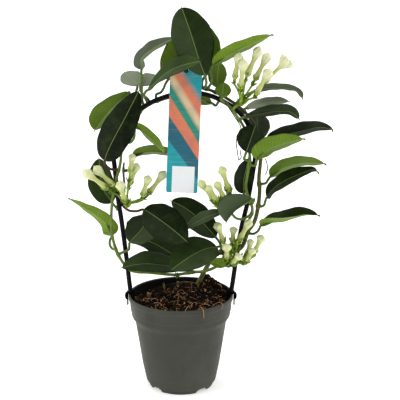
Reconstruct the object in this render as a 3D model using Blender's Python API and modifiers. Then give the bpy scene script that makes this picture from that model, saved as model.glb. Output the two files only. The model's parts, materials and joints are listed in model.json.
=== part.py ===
"""Potted madagascar jasmine: a vine on a black hoop in a grey nursery pot.

Every size in the tables below is in millimetres. The frame stands on the centre of the pot's
foot: +Z is up, the hoop lies in the plane y = 0, and the front of the plant looks along -Y.
"""

import math

import bmesh
import bpy
import numpy as np
from mathutils import Vector

MM = 0.001
GAP = 0.35                 # clearance between pieces that touch
ROUND = 8                  # sides of every grown tube and sections of every blade

# Pot
RIM_RADIUS = 60.0
RIM_TOP = 110.0
FLOOR_TOP = 6.0
FLOOR_UNDER = 3.6
FOOT_RADIUS = 37.0
FOOT_ARCHES = 4
DRAIN_HOLES = 6
POT_STEPS = 36
# Outer side from the rim down to the foot, as (radius, height).
POT_OUTSIDE = [(60.0, 109.2), (60.0, 104.6), (58.6, 103.2), (57.8, 92.0), (57.0, 90.8), (56.6, 85.4),
               (55.6, 83.8), (52.6, 79.0), (44.7, 27.4), (40.4, 6.6), (39.3, 4.9), (37.5, 4.3),
               (FOOT_RADIUS, 0.0)]
# Inner side from the floor up to the rim.
POT_INSIDE = [(36.0, FLOOR_TOP), (38.9, 8.4), (43.4, 27.4), (51.2, 79.6), (55.2, 86.0), (56.5, 104.0),
              (57.6, 108.8), (58.4, RIM_TOP), (59.4, RIM_TOP)]

# Potting soil
SOIL_LEVEL = 102.0
SOIL_RINGS = [0.0, 0.22, 0.42, 0.62, 0.8, 0.93]
SOIL_STEPS = 28

# Hoop: centre line in its own plane, as (x, z), from the left foot to the right one
HOOP_RADIUS = 2.7
HOOP_LINE = [(-57.9, 111), (-61.5, 150), (-66.7, 197), (-69.9, 221), (-72.9, 255), (-74.4, 280),
             (-69.5, 300), (-59.0, 314), (-44.1, 325), (-22, 336.5), (7, 343.6), (30, 340.5), (44, 335.5),
             (66, 320.5), (79, 300), (83.6, 279), (82.2, 261), (74.9, 215), (69.5, 192), (63, 150),
             (57.9, 111)]
HOOP_SPACING = 13.5
SADDLE_WIDTH = 9.0
SADDLE_PLATE = 1.6
SADDLE_INNER_LEG = 20.0
SADDLE_OUTER_LEG = 15.0

# Hang tag
TAG_WIDTH = 35.0
TAG_BOTTOM = (1.5, -10.0, 232.0)      # middle of the lower edge
TAG_TOP = (7.5, -8.0, 378.0)          # middle of the upper edge
TAG_THICKNESS = 0.8
TAG_CORNER = 2.5
TAG_HOLE_RADIUS = 3.2
TAG_HOLE_DOWN = 9.0

# Twist ties: thin coated wire, name -> points
TIE_RADIUS = 0.45
TIE_SPACING = 4.5
TIES = {
    "tie_upper": [(49.3, -9, 333.9), (53.7, -10, 328), (60.9, -11, 317), (67, -13.5, 306.5),
                  (63.7, -15.5, 299.6), (61.8, -15.5, 290.9), (63, -15, 281), (64.8, -15, 270.8),
                  (67.2, -15, 273.1), (66, -15.5, 282.2)],
    "tie_right": [(95, 4, 268), (97, 1, 262), (97, 0, 255), (95, 0, 250)],
}

# Shoots: name -> radius at the foot, radius at the end, points of the centre line
SHOOTS = {
    "stem_right": (3.0, 1.5, [
        (14, 42, 88), (16, 37, 102), (21, 28, 114), (27, 16, 131), (36, 8, 149), (47, 7, 158),
        (61, 10, 157), (70, 9, 163), (74, 7, 174), (77, 5, 184), (83, 3, 193), (86, 2, 204),
        (88, 1, 217), (89, 1, 232), (88, 1, 246), (89, 1, 259), (90, 2, 269), (90, 4, 279),
        (87, 5, 296), (80, 6, 310), (70, 6, 322), (56, 6, 333), (42, 6, 341), (28, 5, 347),
        (16, 5, 349)]),
    "stem_right_inner": (1.8, 1.5, [
        (55, 1, 152), (61, 4, 163), (68, 6, 174), (73, 5, 186), (79, 1, 201), (81, -4, 212),
        (77, -8, 223), (73, -10, 237), (74, -11, 250), (76, -11, 261), (77, -9, 272), (76, -6, 284),
        (74, -5, 297), (68.5, -5, 309), (61, -5.5, 320), (54, -5.5, 329.5), (44.5, -6.5, 337)]),
    "stem_left": (1.8, 1.5, [
        (50, 3.6, 155), (47, 0, 149), (38, -4, 142), (25, -5, 138), (11, -5, 137), (-6, -8, 135),
        (-35, -12, 139), (-54, -13, 141), (-64, -11, 149), (-72.5, -7, 163), (-77, -4, 180),
        (-78, -3, 198), (-77, -4, 216), (-74, -6, 234), (-71, -6, 248), (-68, -5, 258),
        (-66, -1, 269), (-65, 2, 281), (-60, 3, 295), (-53, 4, 308), (-45, 5, 319), (-37, 5, 328),
        (-24, 5, 333), (-11, 4, 337), (1, 4, 338)]),
    "stem_left_inner": (1.5, 1.2, [
        (-73, 2, 208), (-68, 5, 213), (-64, 5, 224), (-63, 5, 238), (-64, 5, 252), (-63, 6, 264)]),
}
SHOOT_SPACING = 9.0

# Dead stubs in the soil: name -> points and radius
STUBS = {
    "cutting_stub": ([(-3, 30, 94), (-3, 30, 104), (-4, 31, 113)], 1.6),
    "old_stub": ([(-19, 36, 94), (-20, 37, 102), (-21, 39, 109)], 1.1),
}

# Leaves: name, blade width, direction the upper side faces (or one at the base and one at the tip),
# fold of each half in degrees, place of the widest part along the blade, elbows of the petiole, and
# the midrib from blade base to tip. A petiole starts on the shoot nearest its first elbow.
LEAVES = [
    ("crown_front", 45, (.15, -.95, .3), 8, .54, [(29, -8, 355)],
     [(27, -14, 365), (21, -17, 382), (12, -19, 411), (2, -10, 438)]),
    ("crown_left_rear", 37, (-.3, .8, .5), 14, .45, [(-27, 8, 339), (-20, 8, 343), (-17, 10, 350)],
     [(-13.5, 13, 355), (-6, 16, 375), (4.5, 18, 395), (16, 14, 413)]),
    ("crown_right_rear", 28, (.2, .9, .3), 14, .45, [(25, 9, 356)],
     [(32, 11, 367), (31.5, 12, 383), (29.5, 13, 399), (24, 11, 417)]),
    ("tag_top", 31, (-.4, -.5, .85), 16, .6, [(-36, 4, 336), (-39, -6, 341)],
     [(-35.5, -12, 348), (-13, -29, 370.5), (6, -39.5, 380), (23, -45.5, 385)]),
    ("arch_left", 27, (-.55, -.35, .76), 18, .4, [(-42, 7, 331), (-42, 2, 350)],
     [(-42, 2, 368.5), (-42.5, 4, 379), (-34, 4, 388), (-19.5, 4, 396.5), (-6, 5, 402.5)]),
    ("round_upper_left", 24, (-.2, -.5, .85), 10, .5, [(-48, 9, 323), (-49, 9, 340)],
     [(-47, 8, 349), (-54, 21, 355), (-63, 36, 360)]),
    ("small_upper_left", 20, (.1, -.5, .85), 10, .5, [(-38, 10, 334), (-43, 11, 342)],
     [(-44, 12, 348), (-38, 22, 353), (-27, 34, 357)]),
    ("pale_left", 42, (-.55, .65, .55), 14, .58, [(-53, 7, 318), (-55, 6, 338)],
     [(-56.5, 5, 343), (-71.5, 8, 329), (-84.5, 12, 314.5), (-96, 14, 297.5)]),
    ("large_left", 36, (-.1, -.9, .35), 12, .45, [(-79, -9, 260)],
     [(-83, -15, 270), (-75, -26, 291), (-59.5, -30, 320), (-44, -20, 349)]),
    ("slim_left", 23, (.25, .6, .75), 16, .38, [(-57, 1, 286), (-51, 0, 293)],
     [(-49.5, 0, 305.5), (-39.5, -3, 299), (-28, -5, 288.5), (-16.5, -7, 277)]),
    ("behind_tag", 28, (0, .6, .8), 14, .3, [(-58, 5, 254), (-55, 6, 263)],
     [(-54.5, 8, 270), (-38, 12, 273.5), (-17, 14, 272.5), (11, 14, 265)]),
    ("dark_left", 30, (-.1, -.85, .45), 10, .45, [(-74, 6, 212)],
     [(-77.5, 9, 215.5), (-89, 11, 235), (-92, 15, 266)]),
    ("low_left_pale", 23, ((-.2, .8, .55), (-.1, .3, .95)), 18, .3, [(-77, -1, 163), (-81.5, 3, 170)],
     [(-78.5, 5, 177.5), (-85.5, 9, 191.5), (-103, 7, 206.5), (-126, -2, 223.5)]),
    ("low_left_round", 38, (-.1, -.7, .7), 10, .5, [(-65, -8, 162), (-58, -9, 166)],
     [(-57, -13, 175), (-45.5, -5, 186), (-33, 8, 201)]),
    ("low_centre_large", 40, (-.1, -.75, .65), 12, .48, [(-60, -9, 212.5), (-51, -9, 210)],
     [(-41, -12, 213), (-25, -24, 206.5), (-8, -34, 196.5), (8, -40, 184)]),
    ("low_centre_shadow", 34, (0, -.5, .85), 14, .45, [(8, 8, 139)],
     [(0, 9, 146), (-16, 12, 157.5), (-37, 14, 168), (-59, 12, 171)]),
    ("low_front_wide", 43, (0, -.6, .8), 16, .5, [(48, -7, 167)],
     [(41, -12, 169.5), (26, -24, 170), (9, -38, 165), (-10, -50, 154.5)]),
    ("low_left_dark", 36, (0, -.4, .92), 18, .5, [(12, -8, 143)],
     [(4, -12, 145), (-17, -20, 150), (-42, -26, 154), (-66, -28, 150)]),
    ("low_right_pale", 20, (0, .75, .6), 14, .5, [],
     [(53, -12, 147), (44, -14, 150), (33, -15, 154)]),
    ("centre_dark", 31, (-.1, -.8, .6), 12, .5, [(45, 1, 169)],
     [(40, 3, 176), (25, 6, 192.5), (8, 8, 207.5), (-11, 6, 218.5)]),
    ("centre_grey", 24, (-.1, -.25, .97), 14, .55, [(74, -8, 203), (66, -10, 201), (60, -11, 205)],
     [(53, -14, 212), (36, -18, 209), (21, -22, 203), (5, -24, 194)]),
    ("centre_twisted", 34, (-.3, -.3, .9), 40, .6, [(80, -9, 219)],
     [(82, -15, 226), (71, -23, 222), (59, -29, 215), (50.5, -33, 204)]),
    ("inner_upright", 23, (.1, -1, .1), 9, .42, [(73, -6, 227)],
     [(71, -5, 230), (70.5, -5, 243), (73, -5, 257), (76.5, -6, 271)]),
    ("right_low", 28, ((0, .25, .97), (0, -.3, .95)), 36, .36, [(81, 3, 180), (88, 2, 184)],
     [(91, 2, 190.5), (99, 0, 194.5), (115, -4, 197), (138, -6, 204.5), (155, -6, 205)]),
    ("right_mid_dark", 27, ((.1, -.5, .85), (.1, -.3, .95)), 16, .42, [(93, -2, 214)],
     [(97, -4, 225), (106, -10, 239), (124, -15, 251), (145, -18, 260), (152, -18, 258)]),
    ("right_mid_pale", 31, (-.2, .66, .72), 14, .36, [(96, 3, 240)],
     [(101, 4, 247), (115, 4, 257), (137, 2, 264), (161, 0, 263)]),
    ("right_round", 32, (-.1, -.85, .5), 12, .5, [(71, -10, 270)],
     [(73, -12, 279), (77, -15, 292), (83, -13, 310)]),
    ("right_round_rear", 28, (.2, -.7, .7), 12, .5, [(88, 9, 282)],
     [(88, 12, 288), (87, 15, 301), (85, 19, 318)]),
    ("right_long_dark", 35, (0, -.25, .97), 16, .42, [(94, 1, 276)],
     [(96, 4, 287), (111, 2, 294), (133, -2, 300), (155, -4, 305), (169, -6, 303)]),
    ("right_pale_front", 37, (-.2, .68, .7), 16, .42, [(83, -13, 264)],
     [(85, -17, 272), (94, -21, 283), (111, -26, 292), (134, -30, 298)]),
    ("upper_right_dark", 30, (0, -.25, .97), 16, .52, [],
     [(71, -9, 318), (85, -12, 321), (105, -16, 325), (121, -20, 325), (130, -22, 318)]),
    ("upper_right_low", 24, (0, -.25, .97), 8, .5, [],
     [(73, 10, 324), (90, 12, 329), (107, 14, 331.5), (121, 14, 331)]),
    ("upper_right_edge", 29, (0, -.1, 1), 14, .4, [(66, 9, 335)],
     [(84, 14, 342.5), (101, 17, 345), (121, 19, 344), (132, 19, 340.5), (136.5, 18, 333)]),
    ("top_right_bright", 29, (-.25, .6, .76), 14, .4, [(35, -3, 357), (34, -5, 368)],
     [(37, -5, 375), (51, -11, 385.5), (71, -17, 397), (98, -21, 409.5)]),
    ("top_right_hanging", 21, (-.1, .95, .2), 10, .5, [],
     [(41, 4, 348), (41, 3.5, 361), (43, 3, 377)]),
    ("top_right_inner", 18, (.2, .8, -.3), 10, .5, [],
     [(46, -10, 339.5), (47, -9, 347), (48, -7.5, 356)]),
    ("under_hoop", 20, (.1, .8, .6), 12, .5, [(40, 6, 328)],
     [(35, 8, 330), (21, 10, 334), (4, 11, 334)]),
]
PETIOLE_RADIUS = 1.15
BLADE_THICKNESS = 1.1
BLADE_STATIONS = (.06, .2, .4, .6, .8, .94)

# Flower clusters: name -> end of the stalk, which starts on the nearest shoot, then the buds as (foot
# of the tube, end of the head, radius of the head). Every pedicel starts where the stalk ends.
CLUSTERS = {
    "flowers_top": ((68, -9, 334), [
        ((59.5, -12, 361), (64.5, -16, 390.5), 5.0), ((66, -18, 351), (69, -23, 384.5), 5.4),
        ((73, -8, 363), (87, -10, 396.5), 5.0), ((82, -4, 358), (97, -4, 388.5), 5.0),
        ((82.7, -14, 343.7), (98.5, -19, 373.5), 5.6), ((92, -6, 356), (118, -8, 381.5), 7.8)]),
    "flowers_middle": ((51, -9, 214), [
        ((38.5, -9, 222.5), (20.5, -13, 248), 4.5), ((41.4, -14, 223), (29.4, -20, 243.5), 4.3),
        ((49.4, -11, 224.5), (39.4, -15, 247), 4.5), ((54, -9, 235), (44.8, -10, 263.5), 4.9)]),
    "flowers_low": ((62, -9, 150), [
        ((48.6, -13, 174.5), (40.3, -14, 200), 4.8), ((58.7, -6, 173), (60, -6, 192.2), 4.6),
        ((66, -11, 177), (79, -13, 202.8), 4.6), ((52, -24, 160), (51.5, -32, 178.6), 5.2),
        ((57.5, -22, 153.5), (67, -31, 166.5), 4.6), ((75.5, -5, 156.5), (80, -5, 177.5), 3.6),
        ((74.5, -14, 153.5), (82, -18, 170), 4.2), ((83, -6, 160), (93, -4, 181.5), 5.0)]),
    "flowers_left": ((-60.5, -10, 219), [
        ((-80.4, -16, 238.3), (-107.5, -20, 261), 5.6), ((-74, -12, 240.5), (-96, -10, 263), 5.4),
        ((-60.8, -19, 224), (-67, -25, 250), 5.2), ((-56.5, -5, 240), (-47.5, -2, 265), 5.0),
        ((-55.5, -12, 256), (-52, -12.5, 278), 4.2), ((-42.5, -7, 227.2), (-34.5, -7, 252), 4.8),
        ((-36, -1, 228), (-16, 3, 254.8), 4.8)]),
}
STALK_RADIUS = 1.6
PEDICEL_RADIUS = 1.15
TUBE_RADIUS = 3.1
# Along a bud, from the foot of its tube to its end: share of the length, then the share of the tube's
# radius and of the head's that add up to the radius there
BUD_PROFILE = [(0.0, 0.8, 0.0), (0.1, 1.0, 0.0), (0.5, 0.8, 0.0), (0.68, 0.3, 0.6), (0.83, 0.0, 1.0),
               (0.95, 0.0, 0.62)]

COLOURS = {
    "pot": ((0.085, 0.09, 0.088), 0.45), "potting_soil": ((0.035, 0.02, 0.012), 0.95),
    "hoop": ((0.01, 0.01, 0.011), 0.4), "tag": ((0.1, 0.4, 0.42), 0.4), "tag_hook": ((0.01, 0.01, 0.01), 0.4),
    "tie": ((0.02, 0.03, 0.02), 0.5), "stem": ((0.09, 0.13, 0.03), 0.6), "leaf": ((0.035, 0.07, 0.025), 0.4),
    "flowers": ((0.75, 0.76, 0.5), 0.45), "stub": ((0.2, 0.14, 0.08), 0.9),
}


def clear_scene():
    for obj in list(bpy.data.objects):
        bpy.data.objects.remove(obj, do_unlink=True)


def new_collection(name, hidden=False):
    found = bpy.data.collections.new(name)
    bpy.context.scene.collection.children.link(found)
    found.hide_render = hidden
    return found


def material(kind):
    """One Principled material per call, so that every object has its own."""
    colour, roughness = COLOURS[kind]
    made = bpy.data.materials.new(kind)
    made.use_nodes = True
    shader = made.node_tree.nodes["Principled BSDF"]
    shader.inputs["Base Color"].default_value = (*colour, 1.0)
    shader.inputs["Roughness"].default_value = roughness
    shader.inputs["Metallic"].default_value = 0.0
    return made


def add_object(name, data, collection, kind):
    made = bpy.data.objects.new(name, data)
    made.data.materials.clear()
    made.data.materials.append(material(kind))
    collection.objects.link(made)
    return made


def add_cutter(name, data, collection):
    made = bpy.data.objects.new(name, data)
    made.hide_render = True
    made.display_type = "WIRE"
    collection.objects.link(made)
    return made


def boolean(obj, operation, operand):
    """Cuts or joins with one object, or with every object of a collection."""
    step = obj.modifiers.new(operation.lower(), "BOOLEAN")
    step.operation = operation
    step.solver = "EXACT"
    if isinstance(operand, bpy.types.Collection):
        step.operand_type = "COLLECTION"
        step.collection = operand
    else:
        step.object = operand
    return step


# ---------------------------------------------------------------- paths

def smooth(points, per_span=12):
    """A curve through the points (Catmull-Rom), as an array."""
    p = np.array(points, float)
    p = np.vstack([2 * p[0] - p[1], p, 2 * p[-1] - p[-2]])
    out = []
    for i in range(1, len(p) - 2):
        for t in np.linspace(0, 1, per_span, endpoint=False):
            a, b, c, d = p[i - 1], p[i], p[i + 1], p[i + 2]
            out.append(0.5 * (2 * b + (c - a) * t + (2 * a - 5 * b + 4 * c - d) * t ** 2
                              + (3 * b - a - 3 * c + d) * t ** 3))
    return np.array(out + [p[-2]])


def distances(path):
    return np.concatenate([[0], np.cumsum(np.linalg.norm(np.diff(path, axis=0), axis=1))])


def at(path, where):
    """Points at these distances along the path."""
    along = distances(path)
    return np.stack([np.interp(where, along, path[:, k]) for k in range(3)], axis=-1)


def evenly(path, spacing):
    length = distances(path)[-1]
    return at(path, np.linspace(0, length, max(2, round(length / spacing)) + 1))


def directions(path):
    d = np.gradient(path, axis=0)
    return d / np.linalg.norm(d, axis=1, keepdims=True)


def unit(vector):
    return vector / np.linalg.norm(vector)


def square_to(vector, axis):
    """The part of the vector that is square to the axis, at length 1."""
    return unit(vector - axis * (vector @ axis))


def carried(first, tangents):
    """A direction carried along the tangents without twisting."""
    out = [square_to(first, tangents[0])]
    for t in tangents[1:]:
        out.append(square_to(out[-1], t))
    return out


# ---------------------------------------------------------------- solids

def loft(rings, start, end):
    """A closed mesh through rings of the same count, ended by one point at each end."""
    count = len(rings[0])
    points = [start] + [p for ring in rings for p in ring] + [end]
    faces = [(0, 1 + (i + 1) % count, 1 + i) for i in range(count)]
    for r in range(len(rings) - 1):
        for i in range(count):
            a, b = 1 + r * count + i, 1 + r * count + (i + 1) % count
            faces.append((a, b, b + count, a + count))
    last = 1 + (len(rings) - 1) * count
    faces += [(last + i, last + (i + 1) % count, len(points) - 1) for i in range(count)]
    mesh = bpy.data.meshes.new("loft")
    mesh.from_pydata([Vector(p) * MM for p in points], [], faces)
    made = bmesh.new()
    made.from_mesh(mesh)
    bmesh.ops.recalc_face_normals(made, faces=made.faces)
    made.to_mesh(mesh)
    made.free()
    mesh.shade_smooth()
    return mesh


def round_ring(centre, side, up, radius):
    turns = [2 * math.pi * i / ROUND for i in range(ROUND)]
    return [centre + (side * math.cos(a) + up * math.sin(a)) * radius for a in turns]


def rod(name, points, radii, collection, kind, resolution=2):
    """A tube as a curve with filled caps, through the points, in millimetres."""
    curve = bpy.data.curves.new(name, "CURVE")
    curve.dimensions = "3D"
    curve.bevel_depth = MM
    curve.bevel_resolution = resolution
    curve.use_fill_caps = True
    spline = curve.splines.new("POLY")
    spline.points.add(len(points) - 1)
    for point, place, radius in zip(spline.points, points, radii):
        point.co = (*(Vector(place) * MM), 1.0)
        point.radius = radius
    return add_object(name, curve, collection, kind)


def as_mesh(obj):
    """Replaces a curve by its mesh, with the caps welded on."""
    graph = bpy.context.evaluated_depsgraph_get()
    mesh = bpy.data.meshes.new_from_object(obj.evaluated_get(graph))
    made = bmesh.new()
    made.from_mesh(mesh)
    bmesh.ops.remove_doubles(made, verts=made.verts, dist=1e-6)
    made.to_mesh(mesh)
    made.free()
    name, place, collection = obj.name, obj.matrix_world.copy(), obj.users_collection[0]
    hidden, display = obj.hide_render, obj.display_type
    bpy.data.objects.remove(obj, do_unlink=True)
    solid = bpy.data.objects.new(name, mesh)
    solid.matrix_world = place
    solid.hide_render, solid.display_type = hidden, display
    collection.objects.link(solid)
    return solid


def box_mesh(size):
    mesh = bpy.data.meshes.new("box")
    made = bmesh.new()
    bmesh.ops.create_cube(made, size=1.0)
    bmesh.ops.scale(made, vec=Vector(size) * MM, verts=made.verts)
    made.to_mesh(mesh)
    made.free()
    return mesh


def cylinder_mesh(radius, height, sides=16):
    mesh = bpy.data.meshes.new("cylinder")
    made = bmesh.new()
    bmesh.ops.create_cone(made, cap_ends=True, segments=sides, radius1=radius * MM,
                          radius2=radius * MM, depth=height * MM)
    made.to_mesh(mesh)
    made.free()
    return mesh


def turned(name, profile, steps, collection, kind):
    """A turned solid: the profile, as (radius, height), round the Z axis."""
    mesh = bpy.data.meshes.new(name)
    points = [(r * MM, 0, z * MM) for r, z in profile]
    mesh.from_pydata(points, [(i, i + 1) for i in range(len(points) - 1)], [])
    obj = add_object(name, mesh, collection, kind)
    screw = obj.modifiers.new("turn", "SCREW")
    screw.steps = screw.render_steps = steps
    screw.use_merge_vertices = True
    screw.merge_threshold = 0.0001
    screw.use_smooth_shade = True
    return obj


# ---------------------------------------------------------------- pot and soil

def pot(parts, cutters):
    centre_pad = [(8.0, FLOOR_UNDER), (7.4, 0.0), (0.0, 0.0)]
    foot = [(FOOT_RADIUS - 2.4, 0.0), (FOOT_RADIUS - 2.8, FLOOR_UNDER)]
    profile = [(0.0, FLOOR_TOP)] + POT_INSIDE + POT_OUTSIDE + foot + centre_pad
    obj = turned("pot", profile, POT_STEPS, parts, "pot")
    for i in range(FOOT_ARCHES):
        turn = math.radians(45 + 90 * i - 4)
        arch = add_cutter(f"foot_arch_{i}", cylinder_mesh(6.0, 12.0, 12), cutters)
        arch.scale = (1.45, 0.78, 1.0)
        arch.rotation_euler = (math.pi / 2, 0, turn - math.pi / 2)
        arch.location = Vector((math.cos(turn) * FOOT_RADIUS, math.sin(turn) * FOOT_RADIUS, -0.4)) * MM
        boolean(obj, "DIFFERENCE", arch)
    for i in range(DRAIN_HOLES):
        turn = 2 * math.pi * (i + 0.5) / DRAIN_HOLES
        hole = add_cutter(f"drain_{i}", cylinder_mesh(3.6, 8.0, 10), cutters)
        hole.location = Vector((math.cos(turn) * 23, math.sin(turn) * 23, FLOOR_TOP - 1)) * MM
        boolean(obj, "DIFFERENCE", hole)
    return obj


def soil_height(x, y):
    """Height of the soil: a low bowl on the left and a mound behind on the right."""
    mound = 13.0 * math.exp(-((x - 34) ** 2 + (y - 34) ** 2) / 400)
    plug = 5.0 * math.exp(-((x - 2) ** 2 + (y - 26) ** 2) / 260)
    dip = -4.0 * math.exp(-((x + 38) ** 2 + (y - 26) ** 2) / 500)
    rough = 1.3 * math.sin(x / 5.2 + 1.3) * math.cos(y / 4.6) + 0.9 * math.sin(x / 2.9 - y / 3.7)
    return SOIL_LEVEL + mound + plug + dip + rough


def pot_inner_radius(height):
    radii, heights = zip(*[(r, z) for r, z in POT_INSIDE if r < 57])
    return float(np.interp(height, heights, radii))


def soil(parts):
    """Fills the pot: turned body, with its top ring by ring at the height of the soil."""
    top_radius = pot_inner_radius(SOIL_LEVEL) - GAP - 0.6
    side = [(r - GAP - 0.5, z) for r, z in POT_INSIDE[1:4]]
    profile = [(top_radius * share, SOIL_LEVEL) for share in SOIL_RINGS] + [(top_radius, SOIL_LEVEL)]
    profile += side[::-1] + [(35.5, FLOOR_TOP + GAP), (0.0, FLOOR_TOP + GAP)]
    obj = as_mesh(turned("potting_soil", profile, SOIL_STEPS, parts, "potting_soil"))
    obj.data.materials.append(material("potting_soil"))
    limit = (top_radius * 0.95) * MM
    for vertex in obj.data.vertices:
        x, y, z = vertex.co / MM
        if z > SOIL_LEVEL - 1:
            vertex.co.z = soil_height(x, y) * MM
            if math.hypot(vertex.co.x, vertex.co.y) > limit:
                vertex.co.z = min(vertex.co.z, (RIM_TOP - 3) * MM)
    return obj


def soil_pocket(obj, points, radius, cutters):
    """Leaves a clear hole in the soil round something that stands in it."""
    foot, above = np.array(points[0], float), np.array(points[1], float)
    points = [foot - unit(above - foot) * 2 * GAP] + list(points[1:])
    cutter = rod("pocket", points, [radius] * len(points), cutters, "stem")
    cutter.hide_render = True
    cutter.display_type = "WIRE"
    boolean(obj, "DIFFERENCE", as_mesh(cutter))


# ---------------------------------------------------------------- hoop, tag and ties

def saddle(side):
    """Mesh of one clip over the rim: a plate on the rim with a leg down each side of the wall."""
    inner, outer = 55.4, RIM_RADIUS + GAP
    top = RIM_TOP + GAP
    pieces = [
        ((outer + SADDLE_PLATE - inner + SADDLE_PLATE, SADDLE_WIDTH, SADDLE_PLATE),
         ((inner + outer) / 2, 0, top + SADDLE_PLATE / 2)),
        ((SADDLE_PLATE, SADDLE_WIDTH * 0.4, SADDLE_OUTER_LEG),
         (outer + SADDLE_PLATE / 2, 0, top + 1 - SADDLE_OUTER_LEG / 2)),
        ((SADDLE_PLATE, SADDLE_WIDTH, SADDLE_INNER_LEG),
         (inner - 1.2, 0, top + 1 - SADDLE_INNER_LEG / 2)),
    ]
    out = []
    for size, place in pieces:
        made = bpy.data.objects.new("saddle", box_mesh(size))
        made.location = Vector((place[0] * side, place[1], place[2])) * MM
        out.append(made)
    return out


def hoop(parts, cutters):
    line = evenly(smooth([(x, 0, z) for x, z in HOOP_LINE]), HOOP_SPACING)
    obj = as_mesh(rod("hoop", line, [HOOP_RADIUS] * len(line), parts, "hoop"))
    obj.data.materials.append(material("hoop"))
    for side in (-1, 1):
        for piece in saddle(side):
            piece.hide_render = True
            piece.display_type = "WIRE"
            cutters.objects.link(piece)
            boolean(obj, "UNION", piece)
    return obj


def tag(parts, cutters):
    """A plate with round corners and a hole near its upper edge, hung in front of the hoop."""
    low, high = Vector(TAG_BOTTOM), Vector(TAG_TOP)
    up = (high - low).normalized()
    length = (high - low).length
    across = Vector((1, 0, 0)) - up * up.x
    across.normalize()
    curve = bpy.data.curves.new("tag", "CURVE")
    curve.dimensions = "2D"
    curve.fill_mode = "BOTH"
    curve.extrude = TAG_THICKNESS / 2 * MM
    spline = curve.splines.new("POLY")
    corners = []
    for cx, cy, start in ((1, 1, 0), (-1, 1, 90), (-1, -1, 180), (1, -1, 270)):
        for turn in (0, 30, 60, 90):
            a = math.radians(start + turn)
            corners.append((cx * (TAG_WIDTH / 2 - TAG_CORNER) + math.cos(a) * TAG_CORNER,
                            cy * (length / 2 - TAG_CORNER) + math.sin(a) * TAG_CORNER))
    spline.points.add(len(corners) - 1)
    for point, (x, y) in zip(spline.points, corners):
        point.co = (x * MM, y * MM, 0, 1)
    spline.use_cyclic_u = True
    obj = add_object("tag", curve, parts, "tag")
    normal = across.cross(up)
    matrix = obj.matrix_world.copy()
    for k, axis in enumerate((across, up, normal)):
        matrix.col[k] = (*axis, 0)
    matrix.translation = (low + high) / 2 * MM
    obj.matrix_world = matrix
    bpy.context.view_layer.update()
    obj = as_mesh(obj)
    obj.data.materials.append(material("tag"))
    hole = add_cutter("tag_hole", cylinder_mesh(TAG_HOLE_RADIUS, 8.0, 14), cutters)
    hole.matrix_world = matrix
    hole.location = (high - up * TAG_HOLE_DOWN) * MM
    boolean(obj, "DIFFERENCE", hole)
    return obj


def tag_hook(parts):
    """A stiff hook: a knob through the tag's hole, a shank down behind it, and a C round the hoop."""
    low, high = np.array(TAG_BOTTOM), np.array(TAG_TOP)
    hole = high - unit(high - low) * TAG_HOLE_DOWN
    radius = 0.9
    centre = np.array([hole[0], 0.0, 343.6])
    ring = HOOP_RADIUS + radius + GAP + 0.15
    turns = np.radians(np.arange(180, -100, -35))
    hook = [centre + ring * np.array([0, math.cos(a), math.sin(a)]) for a in turns]
    back = hole[1] + TAG_THICKNESS / 2 + radius + GAP
    points = [(hole[0], hole[1] - 2.2, hole[2]), (hole[0], hole[1] - 0.6, hole[2]),
              (hole[0], back, hole[2] - 0.6), (hole[0], back + 0.4, hole[2] - 5),
              (hole[0], (back - ring) / 2, hole[2] - 12)]
    line = evenly(smooth(points + hook, 8), 2.6)
    radii = [radius] * len(line)
    radii[0] = 2.9
    radii[1] = 2.8
    return rod("tag_hook", line, radii, parts, "tag_hook")


def tie(name, points, parts):
    line = evenly(smooth(points, 8), TIE_SPACING)
    return rod(name, line, [TIE_RADIUS] * len(line), parts, "tie")


# ---------------------------------------------------------------- shoots and leaves

def shoot_paths():
    return {name: smooth(points) for name, (_, _, points) in SHOOTS.items()}


def shoot(name, path, parts):
    foot, end, _ = SHOOTS[name]
    line = evenly(path, SHOOT_SPACING)
    radii = np.linspace(foot, end, len(line))
    radii[0] *= 0.9
    return rod(name, line, radii, parts, "stem")


def nearest_shoot(place, paths):
    """The closest point on any shoot, with the shoot's radius there."""
    best = None
    for name, path in paths.items():
        away = np.linalg.norm(path - place, axis=1)
        i = int(away.argmin())
        if best is None or away[i] < best[0]:
            foot, end, _ = SHOOTS[name]
            best = (away[i], path[i], foot + (end - foot) * i / (len(path) - 1))
    return best[1], best[2]


def clear_of(path, centre, distance):
    """The path without its first stretch, up to this distance from the centre."""
    away = np.linalg.norm(path - centre, axis=1)
    first = int(np.argmax(away > distance))
    return path[first:]


def facing(face, count):
    """The direction of the upper side at each station of the blade."""
    ends = face if isinstance(face[0], tuple) else (face, face)
    first, last = (np.array(end, float) for end in ends)
    return [first + (last - first) * i / (count - 1) for i in range(count)]


def blade_half_width(share, width, belly):
    warped = share ** (math.log(0.5) / math.log(belly))
    return width / 2 * math.sin(math.pi * warped) ** 0.54


def leaf_ring(centre, side, up, half, fold, thickness, inner):
    """Eight points of one section: edge, three above, edge, three below."""
    def middle(v):
        rise = half * (math.tan(math.radians(fold)) * abs(v) - 0.1 * v * v)
        return centre + side * (v * half) + up * rise
    edge = 0.12 * thickness
    above = [middle(v) + up * h for v, h in ((-1, edge), (-inner, thickness * .42), (0, thickness / 2),
                                              (inner, thickness * .42))]
    below = [middle(v) - up * h for v, h in ((1, edge), (inner, thickness * .42), (0, thickness / 2),
                                              (-inner, thickness * .42))]
    return above + below


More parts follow.
